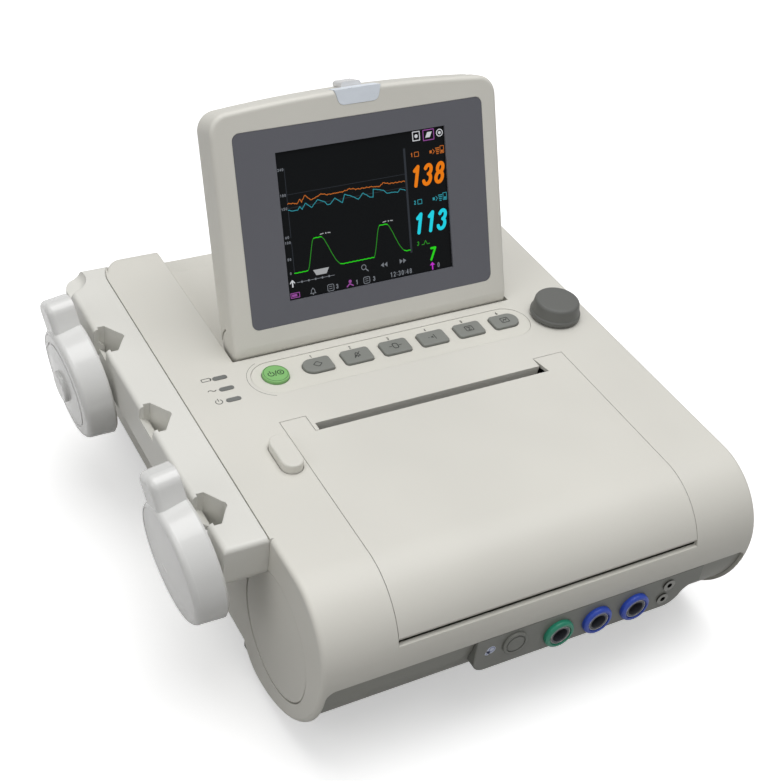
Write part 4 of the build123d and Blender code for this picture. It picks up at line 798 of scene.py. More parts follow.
@dataclass
class Sheet:
    """Thin printed, painted-shade or lit artwork, drawn in millimetres on a plane of the monitor.

    Attributes:
        name: the piece's name.
        plane: turns a sheet's millimetres into the model's metres.
        lift: how far the print stands off its surface.
        thickness: the print's own thickness.
    """

    name: str
    plane: Matrix
    lift: float = 0.03
    thickness: float = 0.04
    mesh: bmesh.types.BMesh = field(default_factory=bmesh.new)

    def patch(self, points: Iterable[Point]) -> None:
        """Add a filled shape.

        Args:
            points: its corners.
        """
        corners = [self.mesh.verts.new((x, y, 0.0)) for x, y in points]
        self.mesh.faces.new(corners)

    def disc(self, x: float, y: float, radius: float, sides: int = 20) -> None:
        """Add a filled circle.

        Args:
            x, y: the centre.
            radius: its radius.
            sides: straight pieces of its edge.
        """
        turn = 2 * math.pi / sides
        self.patch((x + radius * math.cos(k * turn), y + radius * math.sin(k * turn)) for k in range(sides))

    def stroke(self, points: Sequence[Point], width: float, closed: bool = False) -> None:
        """Add a line of even width with round joints.

        Args:
            points: the corners the line runs through.
            width: the line's width.
            closed: whether it returns to its start.
        """
        path = list(points) + ([points[0]] if closed else [])
        for (x0, y0), (x1, y1) in zip(path, path[1:]):
            length = math.hypot(x1 - x0, y1 - y0) or 1e-6
            nx, ny = -(y1 - y0) / length * width / 2, (x1 - x0) / length * width / 2
            self.patch(((x0 + nx, y0 + ny), (x0 - nx, y0 - ny), (x1 - nx, y1 - ny), (x1 + nx, y1 + ny)))
        for x, y in path:
            self.disc(x, y, width / 2, 8 if width < 1.0 else 18)

    def arc(self, x: float, y: float, radius: float, start: float, end: float, width: float,
            steps: int = 36) -> None:
        """Add part of a circle's line.

        Args:
            x, y: the centre.
            radius: the line's middle radius.
            start, end: angles in degrees from +X.
            width: the line's width.
            steps: straight pieces it is made of.
        """
        turn = math.radians(end - start) / steps
        first = math.radians(start)
        inner, outer = radius - width / 2, radius + width / 2
        for k in range(steps):
            a, b = first + k * turn, first + (k + 1) * turn
            self.patch(((x + inner * math.cos(a), y + inner * math.sin(a)),
                        (x + outer * math.cos(a), y + outer * math.sin(a)),
                        (x + outer * math.cos(b), y + outer * math.sin(b)),
                        (x + inner * math.cos(b), y + inner * math.sin(b))))

    def frame(self, x: float, y: float, width: float, height: float, line: float,
              corner: float = 0.0) -> None:
        """Add a rectangle's outline.

        Args:
            x, y: the centre.
            width, height: its size.
            line: the line's width.
            corner: how much of each corner is cut off.
        """
        a, b, c = width / 2, height / 2, corner
        if c:
            points = [(x - a + c, y - b), (x + a - c, y - b), (x + a, y - b + c), (x + a, y + b - c),
                      (x + a - c, y + b), (x - a + c, y + b), (x - a, y + b - c), (x - a, y - b + c)]
        else:
            points = [(x - a, y - b), (x + a, y - b), (x + a, y + b), (x - a, y + b)]
        self.stroke(points, line, True)

    def box(self, x: float, y: float, width: float, height: float) -> None:
        """Add a filled rectangle.

        Args:
            x, y: the centre.
            width, height: its size.
        """
        a, b = width / 2, height / 2
        self.patch(((x - a, y - b), (x + a, y - b), (x + a, y + b), (x - a, y + b)))

    def number(self, text: str, x: float, y: float, height: float, weight: float = 0.14, width: float = 0.5,
               slant: float = 0.0, gap: float = 0.2) -> None:
        """Add plain numerals centred on a point.

        Args:
            text: the numerals, with colons between the parts of a time.
            x, y: the centre of the text.
            height: the height of a numeral.
            weight: the stroke's width, as a share of the height.
            width: a numeral's width, as a share of the height.
            slant: how far the tops lean over, as a share of the height.
            gap: the space between numerals, as a share of the height.
        """
        stroke = weight * height
        wide, tall = width * height - stroke, height - stroke
        steps = [(0.35 if sign == ":" else 1.0) * width * height + gap * height for sign in text]
        left = x - (sum(steps) - gap * height) / 2
        for sign, step in zip(text, steps):
            for line in NUMERALS[sign]:
                drawn = []
                for a, b in line:
                    up = (b - 0.5) * tall
                    middle = left + (step - gap * height) / 2
                    drawn.append((middle + (a - 0.5) * wide + up * slant, y + up))
                self.stroke(drawn, stroke)
            left += step

    def lay(self, finish: Finish, body: Body) -> bpy.types.Object:
        """Turn the sheet into a piece with a finish, riding on a body.

        Args:
            finish: what it is printed, painted or lit with.
            body: the body it moves with.

        Returns:
            The new object.
        """
        bmesh.ops.triangulate(self.mesh, faces=self.mesh.faces)
        bmesh.ops.recalc_face_normals(self.mesh, faces=self.mesh.faces)
        for face in self.mesh.faces:
            if face.normal.z < 0:
                face.normal_flip()
        made = bmesh.ops.extrude_face_region(self.mesh, geom=list(self.mesh.faces), use_keep_orig=True)
        raised = [v for v in made["geom"] if isinstance(v, bmesh.types.BMVert)]
        bmesh.ops.translate(self.mesh, vec=(0, 0, self.thickness), verts=raised)
        bmesh.ops.translate(self.mesh, vec=(0, 0, self.lift), verts=self.mesh.verts)
        bmesh.ops.recalc_face_normals(self.mesh, faces=self.mesh.faces)
        self.mesh.transform(self.plane)
        return keep(self.name, self.mesh, finish, body)


def keep(name: str, mesh: bmesh.types.BMesh, finish: Finish, body: Body,
         smooth: bool = False) -> bpy.types.Object:
    """Store a built mesh as a piece of the monitor.

    Args:
        name: the piece's name.
        mesh: its shape, in metres.
        finish: its finish.
        body: the body it rides on.
        smooth: whether its faces are shaded smooth.

    Returns:
        The new object.
    """
    data = bpy.data.meshes.new(name)
    mesh.to_mesh(data)
    mesh.free()
    data.materials.append(finish.make())
    if smooth:
        data.shade_smooth()
    piece = bpy.data.objects.new(name, data)
    bpy.context.scene.collection.objects.link(piece)
    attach(piece, body.value)
    LOG.info("piece %s on %s", name, body.value)
    return piece


def facing(origin: Sequence[float], across: Sequence[float], upward: Sequence[float]) -> Matrix:
    """Frame of a flat surface for artwork in millimetres.

    Args:
        origin: the sheet's origin, in millimetres of the model.
        across: direction of the sheet's +x.
        upward: direction of the sheet's +y.

    Returns:
        The matrix from the sheet's millimetres to the model's metres.
    """
    right, up = Vector(across).normalized(), Vector(upward).normalized()
    out = right.cross(up)
    rows = [[right[k] * MM, up[k] * MM, out[k] * MM, origin[k] * MM] for k in range(3)]
    return Matrix(rows + [[0.0, 0.0, 0.0, 1.0]])


def lathe(profile: Sequence[Point], plane: Matrix, sides: int = 48) -> bmesh.types.BMesh:
    """Turn a profile round its axis.

    Args:
        profile: (radius, height) points in millimetres, from the axis or back to the start.
        plane: where the axis stands; the profile's height is along its third axis.
        sides: faces round the axis.

    Returns:
        The closed mesh, in metres.
    """
    mesh = bmesh.new()
    rings = []
    for radius, height in profile:
        ring = [mesh.verts.new((radius * math.cos(2 * math.pi * k / sides),
                                radius * math.sin(2 * math.pi * k / sides), height)) for k in range(sides)]
        rings.append(ring)
    for low, high in zip(rings, rings[1:] + rings[:1]):
        for k in range(sides):
            mesh.faces.new((low[k], low[(k + 1) % sides], high[(k + 1) % sides], high[k]))
    bmesh.ops.remove_doubles(mesh, verts=mesh.verts, dist=1e-5)
    bmesh.ops.recalc_face_normals(mesh, faces=mesh.faces)
    mesh.transform(plane)
    return mesh


def join(whole: bmesh.types.BMesh, part: bmesh.types.BMesh) -> None:
    """Add a part's shape to a larger mesh and free the part.

    Args:
        whole: the mesh that grows.
        part: the mesh that goes into it.
    """
    data = bpy.data.meshes.new("part")
    part.to_mesh(data)
    part.free()
    whole.from_mesh(data)
    bpy.data.meshes.remove(data)


# ---------------------------------------------------------------- sub-assemblies
@dataclass
class Covers:
    """The moulded covers and every other node of the model: each gets its own finish."""

    frame: dict

    finishes = {
        Palette.cover: ("top_housing", "end_discs", "paper_door", "door_latch_button", "screen_front_frame",
                        "screen_rear_cover"),
        Palette.lit_rail: ("probe_rail",),
        Palette.lower: ("bottom_housing", "battery_door"),
        Palette.panel: ("socket_panel",),
        Palette.plate: ("key_plate",),
        Palette.key: ("start_key", "silence_key", "auto_zero_key", "mark_key", "print_key", "channel_key"),
        Palette.power: ("power_key",),
        Palette.knob: ("control_knob",),
        Palette.overlay: ("display_overlay",),
        Palette.glass: ("lcd_panel",),
        Palette.probe: ("ultrasound_transducer_shell", "ultrasound_transducer_face",
                        "toco_transducer_shell", "toco_transducer_face"),
        Palette.green: ("toco_socket",),
        Palette.blue: ("ultrasound_sockets",),
        Palette.lining: ("socket_linings",),
        Palette.marker: ("marker_socket",),
        Palette.dark: ("paper_tray", "encoder_body", "loudspeaker"),
        Palette.inlet: ("mains_inlet",),
        Palette.gear: ("platen_gear", "reduction_gear"),
        Palette.film: ("battery_pack",),
        Palette.steel: ("door_hinge_pin", "platen_shaft", "stepper_motor", "recorder_frame", "encoder_sleeve",
                        "encoder_shaft", "hinge_arms", "hinge_pins", "case_screws"),
        Palette.nickel: ("earth_stud", "network_socket"),
        Palette.jack: ("front_jacks",),
        Palette.aluminium: ("thermal_head",),
        Palette.brass: ("motor_pinion", "trolley_inserts"),
        Palette.rubber: ("platen_rubber", "screen_bumpers", "rubber_feet"),
        Palette.lens: ("alarm_lens",),
        Palette.catch: ("screen_catch",),
        Palette.lamp: ("led_windows",),
        Palette.board: ("key_board", "main_board", "power_supply"),
    }

    def dress(self) -> None:
        """Give every node of the model its finish."""
        left = set(self.frame["nodes"])
        for finish, nodes in self.finishes.items():
            for node in nodes:
                piece = self.frame["nodes"][node]
                piece.data.materials.clear()
                piece.data.materials.append(finish.make())
                left.discard(node)
        if left:
            LOG.warning("nodes without a finish: %s", sorted(left))
        LOG.info("finished %d nodes", len(self.frame["nodes"]) - len(left))


@dataclass
class KeyRow:
    """Marks printed on the keys and round them, and the painted shade of a moulded line round the plate."""

    panel_height: float = 125.0
    key_height: float = 126.6
    power_height: float = 127.0
    plate_height: float = 124.75
    first_x: float = -56.2
    pitch: float = 27.9
    row_y: float = 20.2
    power_x: float = -85.3
    line: float = 0.55
    bold: float = 0.65
    number_y: float = 30.7
    number_height: float = 2.8
    plate_centre: Point = (-85.6, 19.0)
    plate_radius: float = 15.7
    arc_gap: float = 2.6
    arc_ends: Point = (112, 248)

    def start(self, sheet: Sheet) -> None:
        """Draw a rounded diamond.

        Args:
            sheet: the key's sheet.
        """
        sheet.stroke([(-2.9, 0), (-0.5, 2.2), (0.5, 2.2), (2.9, 0), (0.5, -2.2), (-0.5, -2.2)], self.line, True)

    def silence(self, sheet: Sheet) -> None:
        """Draw a crossed-out bell.

        Args:
            sheet: the key's sheet.
        """
        draw_bell(sheet, 0, 0, 1.0, self.line)
        sheet.stroke([(-2.6, -2.6), (2.6, 2.6)], self.line)

    def auto_zero(self, sheet: Sheet) -> None:
        """Draw a zero between two dashes.

        Args:
            sheet: the key's sheet.
        """
        sheet.stroke([(-1.0, -2.4), (1.0, -2.4), (1.7, -1.5), (1.7, 1.5), (1.0, 2.4), (-1.0, 2.4), (-1.7, 1.5),
                      (-1.7, -1.5)], self.line * 1.2, True)
        sheet.stroke([(-4.4, 0), (-2.5, 0)], self.line)
        sheet.stroke([(2.5, 0), (4.4, 0)], self.line)

    def mark(self, sheet: Sheet) -> None:
        """Draw a small arrow against a bar.

        Args:
            sheet: the key's sheet.
        """
        sheet.patch([(-1.6, 0), (0.4, 1.1), (0.4, -1.1)])
        sheet.stroke([(1.6, -2.4), (1.6, 2.4)], self.line)
        sheet.disc(-2.8, 0, 0.4)

    def printing(self, sheet: Sheet) -> None:
        """Draw a sheet of paper with two lines.

        Args:
            sheet: the key's sheet.
        """
        sheet.frame(0, 0, 5.4, 4.8, self.line, 0.5)
        sheet.stroke([(-1.4, 1.0), (1.4, 1.0)], self.line)
        sheet.stroke([(0, 1.0), (0, -1.4)], self.line)
        sheet.stroke([(-1.0, -1.4), (1.0, -1.4)], self.line)

    def channel(self, sheet: Sheet) -> None:
        """Draw a sheet with a curve.

        Args:
            sheet: the key's sheet.
        """
        sheet.frame(0, 0, 5.6, 4.8, self.line, 0.5)
        sheet.stroke([(-1.8, -1.2), (-0.4, 0.9), (0.6, -0.3), (1.9, 1.3)], self.line)

    def signs(self) -> tuple[tuple[str, Body, Callable[[Sheet], None]], ...]:
        """The grey keys from left to right.

        Returns:
            For each key its print's name, its body and what draws the print.
        """
        return (("start_mark", Body.START, self.start), ("silence_mark", Body.SILENCE, self.silence),
                ("auto_zero_mark", Body.AUTO_ZERO, self.auto_zero), ("event_mark", Body.MARK, self.mark),
                ("print_mark", Body.PRINT, self.printing), ("channel_mark", Body.CHANNEL, self.channel))

    def keys(self) -> None:
        """Print a sign on each grey key."""
        for index, (name, body, draw) in enumerate(self.signs()):
            place = (self.first_x + index * self.pitch, self.row_y, self.key_height)
            sheet = Sheet(name, facing(place, RIGHT, REAR))
            draw(sheet)
            sheet.lay(Palette.key_ink, body)

    def power(self) -> None:
        """A stand-by sign, a slash and a dotted ring on the round key."""
        place = (self.power_x, self.row_y, self.power_height)
        sheet = Sheet("power_mark", facing(place, RIGHT, REAR))
        sheet.arc(-3.2, 0, 1.9, 125, 415, self.bold)
        sheet.stroke([(-3.2, 0.5), (-3.2, 2.8)], self.bold)
        sheet.stroke([(-0.8, -2.3), (0.8, 2.3)], 0.6)
        sheet.arc(3.2, 0, 2.0, 0, 360, self.bold)
        sheet.disc(3.2, 0, 0.7)
        sheet.arc(0, 0, 7.7, 0, 360, 0.25, 60)
        sheet.lay(Palette.power_ink, Body.POWER)

    def numbers(self) -> None:
        """Plain numbers on the plate behind the keys."""
        sheet = Sheet("key_numbers", facing((0, 0, self.plate_height), RIGHT, REAR))
        for index in range(len(self.signs())):
            x = self.first_x + index * self.pitch
            sheet.number(str(index + 1), x, self.number_y, self.number_height, weight=0.18)
        sheet.lay(Palette.pale_ink_and_line_shade, Body.CASE)

    def plate_arc(self) -> None:
        """Painted shade of the fine moulded line that repeats the plate's round left end: a grey line flush on
        the panel.
        """
        sheet = Sheet("plate_arc", facing((*self.plate_centre, self.panel_height), RIGHT, REAR), lift=0.0)
        # grey line: painted shade of a moulded line
        sheet.arc(0, 0, self.plate_radius + self.arc_gap, *self.arc_ends, 0.3, 48)
        sheet.lay(Palette.pale_ink_and_line_shade, Body.CASE)

    def build(self) -> None:
        """Print every key and the plate."""
        self.keys()
        self.power()
        self.numbers()
        self.plate_arc()


def draw_bell(sheet: Sheet, x: float, y: float, size: float, line: float) -> None:
    """Draw a small bell.

    Args:
        sheet: where it is drawn.
        x, y: its centre.
        size: its scale; 1 is about 4.6 mm tall.
        line: the line's width.
    """
    outline = [(-2.0, -1.3), (-1.3, -0.5), (-1.2, 0.8), (-0.6, 1.7), (0.6, 1.7), (1.2, 0.8), (1.3, -0.5),
               (2.0, -1.3)]
    sheet.stroke([(x + a * size, y + b * size) for a, b in outline], line, True)
    sheet.disc(x, y - 2.0 * size, 0.45 * size)
    sheet.disc(x, y + 2.2 * size, 0.35 * size)


@dataclass
class StatusLamps:
    """Signs beside the three lamps: battery, mains and stand-by."""

    height: float = 125.0
    battery: Point = (-127.6, 30.8)
    mains: Point = (-128.0, 19.8)
    standby: Point = (-128.0, 8.6)
    line: float = 0.52

    def build(self) -> None:
        """Print the three signs on the panel."""
        sheet = Sheet("lamp_signs", facing((0, 0, self.height), RIGHT, REAR))
        x, y = self.battery
        sheet.frame(x, y, 5.6, 2.6, self.line, 0.3)
        sheet.stroke([(x + 3.3, y - 0.6), (x + 3.3, y + 0.6)], self.line)
        x, y = self.mains
        wave = [(x - 2.6 + 0.4 * k, y + 0.75 * math.sin(2 * math.pi * k / 13)) for k in range(14)]
        sheet.stroke(wave, self.line)
        x, y = self.standby
        sheet.arc(x, y, 2.1, 125, 415, self.line)
        sheet.stroke([(x, y + 0.6), (x, y + 2.9)], self.line)
        sheet.lay(Palette.ink, Body.CASE)


@dataclass
class FrontSockets:
    """Small parts of the socket panel: contact pins, pale rings and the marker's sign."""

    face_y: float = -183.5
    socket_xs: tuple[float, ...] = (7.0, 34.3, 61.6)
    socket_z: float = 59.8
    bore_end_y: float = -174.8
    pin_circle: float = 2.9
    pin_count: int = 5
    lip_proud: float = 2.75
    emblem: Point = (-39.7, 64.6)

    def pins(self) -> None:
        """Round-nosed contact pins at the bottom of each probe socket."""
        nose = [(0.001, -0.6), (0.5, -0.6), (0.5, 1.6), (0.42, 1.95), (0.2, 2.15), (0.001, 2.2)]
        mesh = bmesh.new()
        for x in self.socket_xs:
            for k in range(self.pin_count):
                turn = math.radians(90 + 360 / self.pin_count * k)
                place = (x + self.pin_circle * math.cos(turn), self.bore_end_y,
                         self.socket_z + self.pin_circle * math.sin(turn))
                join(mesh, lathe(nose, facing(place, RIGHT, UP), 12))
        keep("socket_contacts", mesh, Palette.nickel, Body.CASE, smooth=True)

    def rings(self) -> None:
        """The thin pale lip round each socket's mouth."""
        lip = [(6.35, -0.3), (6.35, 0.1), (6.45, 0.2), (6.6, 0.2), (6.7, 0.1), (6.7, -0.3)]
        mesh = bmesh.new()
        for x in self.socket_xs:
            place = (x, self.face_y - self.lip_proud, self.socket_z)
            join(mesh, lathe(lip, facing(place, RIGHT, UP), 40))
        keep("socket_lips", mesh, Palette.nickel, Body.CASE, smooth=True)

    def sign(self) -> None:
        """A push-button sign beside the marker's socket."""
        x, z = self.emblem
        plane = facing((x, self.face_y, z), RIGHT, UP)
        base = Sheet("marker_sign_ground", plane)
        base.disc(0, 0, 3.0, 28)
        base.disc(-2.2, -1.9, 1.7, 20)
        base.lay(Palette.emblem_ink, Body.CASE)
        lines = Sheet("marker_sign_lines", plane, lift=0.08)
        lines.arc(0.5, 0.5, 1.7, 0, 360, 0.35, 28)
        lines.stroke([(-0.8, -0.8), (-2.8, -2.7)], 0.4)
        lines.lay(Palette.emblem_blue, Body.CASE)

    def build(self) -> None:
        """Make the pins, the rings and the sign."""
        self.pins()
        self.rings()
        self.sign()


@dataclass
class Display:
    """The lit picture: scales, three curves, readings and small signs.

    Attributes:
        screen_x, foot_y, panel_z: the foot of the screen's front face.
        lean: how far the screen leans back, in degrees.
        glass_depth: how far the glass lies behind that face.
        left, low: the picture's lower left corner on the face.
        chart_left, chart_right: ends of the chart.
        heart_low, heart_high, toco_low, toco_high: ends of its two scales.
        first_turns, second_turns: points where the heart-rate curves turn.
        heart_width, level_width, steep_width: widths of the curves' lines.
        rise_starts, top_runs, fall_length: shape of the contraction curve.
        scale_numbers: height and text of each number at the scales.
    """

    screen_x: float = -2.8
    foot_y: float = 40.0
    panel_z: float = 125.0
    lean: float = 21.737
    glass_depth: float = 1.45
    left: float = -59.8
    low: float = 32.3
    chart_left: float = 5.5
    chart_right: float = 89.0
    heart_low: float = 40.0
    heart_high: float = 83.5
    toco_low: float = 16.9
    toco_high: float = 37.0
    first_turns: tuple[Point, ...] = ((5.5, 61.5), (9, 61.2), (12, 60.5), (14, 63.4), (15, 61.0), (17.5, 65.0),
                                      (21.5, 61.3), (25, 62.4), (29, 64.0), (33, 62.8), (44, 62.9), (49, 64.0),
                                      (54, 62.9), (64, 62.8), (70, 62.0), (73, 64.0), (77, 62.8), (89, 62.5))
    second_turns: tuple[Point, ...] = ((5.5, 57.5), (8, 56.5), (12, 56.5), (13.5, 58.5), (15, 56.5), (17.5, 60),
                                       (21.5, 56.5), (26, 60.8), (31, 58.5), (32.5, 56.5), (34.5, 56.5),
                                       (38, 59.8), (43, 56), (45, 61), (50, 59), (54.5, 56.3), (58, 59.8),
                                       (63, 56.2), (65, 56), (65.5, 61), (68, 60.5), (73, 59), (75, 56.8),
                                       (80, 56.8), (83, 56.2), (85, 58), (89, 56.5))
    heart_width: float = 0.46
    level_width: float = 0.62
    steep_width: float = 0.5
    rise_starts: tuple[float, float] = (14.6, 62.0)
    top_runs: tuple[Point, ...] = ((21.0, 26.0), (68.0, 73.0))
    fall_length: float = 13.5
    scale_numbers: tuple[tuple[float, str], ...] = ((83.0, "240"), (67.0, "180"), (58.5, "150"), (40.4, "60"),
                                                    (37.0, "100"), (26.3, "50"), (17.3, "0"))

    def plane(self) -> Matrix:
        """Frame of the display glass.

        Returns:
            The matrix of a sheet with its origin in the picture's lower left corner.
        """
        tilt = math.radians(self.lean)
        up = Vector((0, math.sin(tilt), math.cos(tilt)))
        out = Vector((0, -math.cos(tilt), math.sin(tilt)))
        corner = Vector((self.screen_x + self.left, self.foot_y, self.panel_z)) + up * self.low
        corner -= out * self.glass_depth
        return facing(corner, RIGHT, up)

    @contextmanager
    def layer(self, name: str, finish: Finish, lift: float = 0.05) -> Iterator[Sheet]:
        """Open a layer of the picture; it is lit and turns with the screen once it is drawn.

        Args:
            name: the layer's name.
            finish: its light.
            lift: how far it stands off the glass.

        Yields:
            The sheet that it is drawn on.
        """
        sheet = Sheet("picture_" + name, self.plane(), lift=lift, thickness=0.02)
        yield sheet
        sheet.lay(finish, Body.SCREEN)

    def jitter(self, x: float) -> float:
        """The fine unrest of a heart-rate curve.

        Args:
            x: place along the chart.

        Returns:
            How far the curve strays from its path.
        """
        return 0.2 * math.sin(5.3 * x) + 0.14 * math.sin(11.9 * x + 1.0) + 0.1 * math.sin(2.1 * x)

    def heart_line(self, name: str, turns: Sequence[Point], unrest: float, finish: Finish) -> None:
        """One heart-rate curve through its turning points.

        Args:
            name: the layer's name.
            turns: the points where it turns.
            unrest: how much of the fine unrest it has.
            finish: its light.
        """
        points = []
        for (x0, y0), (x1, y1) in zip(turns, turns[1:]):
            steps = max(2, round((x1 - x0) / 0.45))
            for k in range(steps):
                share = k / steps
                x = x0 + (x1 - x0) * share
                points.append((x, y0 + (y1 - y0) * share + unrest * self.jitter(x)))
        with self.layer(name, finish, 0.06) as sheet:
            sheet.stroke(points, self.heart_width)

    def contraction(self, x: float) -> float:
        """The contraction curve: two steep rises, short flat tops and slower falls.

        Args:
            x: place along the chart.

        Returns:
            The curve's height.
        """
        tall = self.toco_high - self.toco_low
        share = 0.0
        for start, (top_left, top_right) in zip(self.rise_starts, self.top_runs):
            if start <= x < top_left:
                turn = (x - start) / (top_left - start)
                share = turn * turn * (3 - 2 * turn)
            elif top_left <= x <= top_right:
                share = 1.0
            elif top_right < x < top_right + self.fall_length:
                turn = (x - top_right) / self.fall_length
                share = 0.5 * (1 + math.cos(math.pi * turn ** 0.82))
        return self.toco_low + tall * share + 0.1 * math.sin(2.3 * x)

    def contraction_line(self) -> None:
        """The green contraction curve, brighter where it runs level."""
        steps = 190
        run = self.chart_right - self.chart_left
        points = [(self.chart_left + run * k / steps, self.contraction(self.chart_left + run * k / steps))
                  for k in range(steps + 1)]
        with (self.layer("contraction_steep", Palette.picture_dim_green) as steep,
              self.layer("contraction_level", Palette.picture_green, 0.07) as level):
            for (x0, y0), (x1, y1) in zip(points, points[1:]):
                if abs(y1 - y0) < 0.5 * (x1 - x0):
                    level.stroke([(x0, y0), (x1, y1)], self.level_width)
                else:
                    steep.stroke([(x0, y0), (x1, y1)], self.steep_width)

    def scales(self) -> None:
        """Axes, scale ticks, guide lines and the split between chart and readings."""
        with self.layer("guides", Palette.picture_faint, 0.03) as faint:
            for y in (58.5, 67.0):
                faint.stroke([(self.chart_left, y), (self.chart_right, y)], 0.3)
            for low, high in ((self.toco_low, self.toco_high), (self.heart_low, self.heart_high)):
                faint.stroke([(self.chart_left, low), (self.chart_left, high)], 0.4)
            faint.box(self.chart_right + 0.8, 49.2, 1.5, 68.5)
        with self.layer("axes", Palette.picture_grey, 0.04) as grey:
            for y, text in self.scale_numbers:
                grey.number(text, 2.9, y, 1.8, weight=0.2, width=0.62)

    def readings(self) -> None:
        """The large numbers at the right."""
        for name, finish, text, x, y, height in (
                ("reading_first", Palette.picture_orange, "138", 105.9, 64.2, 14.5),
                ("reading_second", Palette.picture_cyan, "113", 105.6, 33.1, 14.3),
                ("reading_third", Palette.picture_green, "7", 105.5, 11.4, 9.2)):
            with self.layer(name, finish) as sheet:
                sheet.number(text, x, y, height, slant=0.2, weight=0.166, gap=0.114)

    def strength_bars(self, sheet: Sheet, x: float, y: float) -> None:
        """A small speaker and its stepped bars.

        Args:
            sheet: where they are drawn.
            x, y: their centre.
        """
        sheet.box(x - 7.4, y, 1.6, 1.8)
        sheet.stroke([(x - 5.8, y - 1.4), (x - 4.6, y), (x - 5.8, y + 1.4)], 0.4)
        for k in range(4):
            sheet.box(x - 2.4, y - 1.8 + 1.2 * k, 1.6 + 0.5 * k, 0.6)
        sheet.frame(x + 1.0, y + 0.5, 2.6, 4.6, 0.4)
        sheet.box(x + 1.0, y - 0.6, 1.4, 1.6)

    def labels(self) -> None:
        """Channel numbers and signal bars over each reading."""
        for name, finish, text, y, bars_y in (("label_first", Palette.picture_dim_orange, "1", 78.4, 78.4),
                                              ("label_second", Palette.picture_dim_cyan, "2", 47.4, 47.6)):
            with self.layer(name, finish) as sheet:
                sheet.number(text, 95.0, y, 2.8, weight=0.2)
                sheet.frame(98.6, y, 3.0, 2.8, 0.4)
                self.strength_bars(sheet, 116.5, bars_y)
        with self.layer("label_third", Palette.picture_dim_green) as green:
            green.number("3", 95.2, 20.0, 3.0, slant=0.15, weight=0.2)
            green.stroke([(98.0, 18.8), (99.6, 18.8), (100.8, 21.2), (102.0, 18.8), (103.8, 18.8)], 0.5)

    def top_signs(self) -> None:
        """Three signs in the top right corner."""
        with self.layer("signs_top", Palette.picture_white) as white:
            white.frame(99.2, 90.0, 5.0, 5.6, 0.6)
            white.disc(99.2, 90.0, 1.2)
            white.arc(116.5, 89.8, 2.2, 0, 360, 0.6, 24)
            white.disc(116.5, 89.8, 1.0)
        with self.layer("sign_top_frame", Palette.picture_dim_magenta) as magenta:
            magenta.frame(108.3, 89.6, 7.8, 6.6, 0.55)
        with self.layer("sign_top_inner", Palette.picture_white) as inner:
            inner.patch([(105.8, 88.0), (109.2, 88.0), (110.9, 91.4), (107.5, 91.4)])

    def menu_signs(self) -> None:
        """The paging row under the chart."""
        with self.layer("signs_row", Palette.picture_white) as white:
            white.stroke([(3.4, 8.5), (3.4, 12.2)], 0.9)
            white.stroke([(1.9, 10.9), (3.4, 12.6), (4.9, 10.9)], 0.7)
        with self.layer("sign_funnel", Palette.picture_pale) as pale:
            pale.patch([(20.4, 12.9), (27.6, 12.9), (29.6, 16.6), (18.4, 16.6)])
        with self.layer("signs_row_dim", Palette.picture_grey) as dim:
            dim.stroke([(6.5, 10.7), (33.0, 10.7)], 0.32)
            for k in range(5):
                dim.box(10.0 + 4.8 * k, 10.7, 1.0, 1.3)
            dim.arc(54.2, 11.8, 1.6, 0, 360, 0.5, 20)
            dim.stroke([(55.4, 10.6), (57.2, 8.9)], 0.7)
            for base, way in ((69.0, -1.0), (83.0, 1.0)):
                for k in range(2):
                    tip = base + way * (2.4 - 2.6 * k)
                    back = tip - way * 2.2
                    dim.patch([(tip, 10.7), (back, 10.7 + way * 1.6), (back, 10.7 - way * 1.6)])

    def bottom_signs(self) -> None:
        """Battery, volume and user signs and the clock along the lower edge."""
        with self.layer("signs_bottom", Palette.picture_grey) as grey:
            draw_bell(grey, 17.0, 3.0, 0.95, 0.45)
            grey.number("12:30:48", 81.0, 3.0, 3.4, weight=0.16)
            for x in (29.6, 55.6):
                grey.frame(x, 3.0, 4.4, 4.2, 0.45, 0.6)
                grey.stroke([(x - 1.0, 3.8), (x + 1.0, 3.8)], 0.4)
                grey.stroke([(x - 1.0, 2.4), (x + 1.0, 2.4)], 0.4)
            for x, text in ((34.2, "3"), (48.4, "1"), (61.0, "3")):
                grey.number(text, x, 3.0, 3.2, weight=0.2)
            grey.number("0", 109.4, 3.2, 3.4, weight=0.18)
        with self.layer("signs_magenta", Palette.picture_dim_magenta) as magenta:
            magenta.frame(4.5, 2.8, 6.0, 3.0, 0.5)
            magenta.box(4.0, 2.8, 3.6, 1.6)
            magenta.disc(43.6, 4.4, 1.1)
            magenta.stroke([(41.2, 1.2), (43.2, 2.9), (45.6, 1.4)], 0.8)
        with self.layer("move_sign", Palette.picture_magenta) as bright:
            bright.stroke([(104.8, 1.0), (104.8, 4.2)], 0.9)
            bright.patch([(102.9, 3.8), (106.7, 3.8), (104.8, 5.9)])

    def crests(self) -> None:
        """The small marks over the contraction curve's tops."""
        with self.layer("peaks", Palette.picture_pale) as white:
            for x in (29.0, 74.0):
                white.stroke([(x - 3.4, 38.6), (x - 1.2, 38.9)], 0.6)
                white.disc(x + 0.6, 38.8, 0.5, 12)
                white.stroke([(x + 2.0, 38.8), (x + 3.6, 38.6)], 0.6)

    def build(self) -> None:
        """Light the whole picture."""
        self.scales()
        self.heart_line("heart_first", self.first_turns, 1.0, Palette.picture_dim_orange)
        self.heart_line("heart_second", self.second_turns, 0.4, Palette.picture_dim_cyan)
        self.contraction_line()
        self.crests()
        self.readings()
        self.labels()
        self.top_signs()
        self.menu_signs()
        self.bottom_signs()


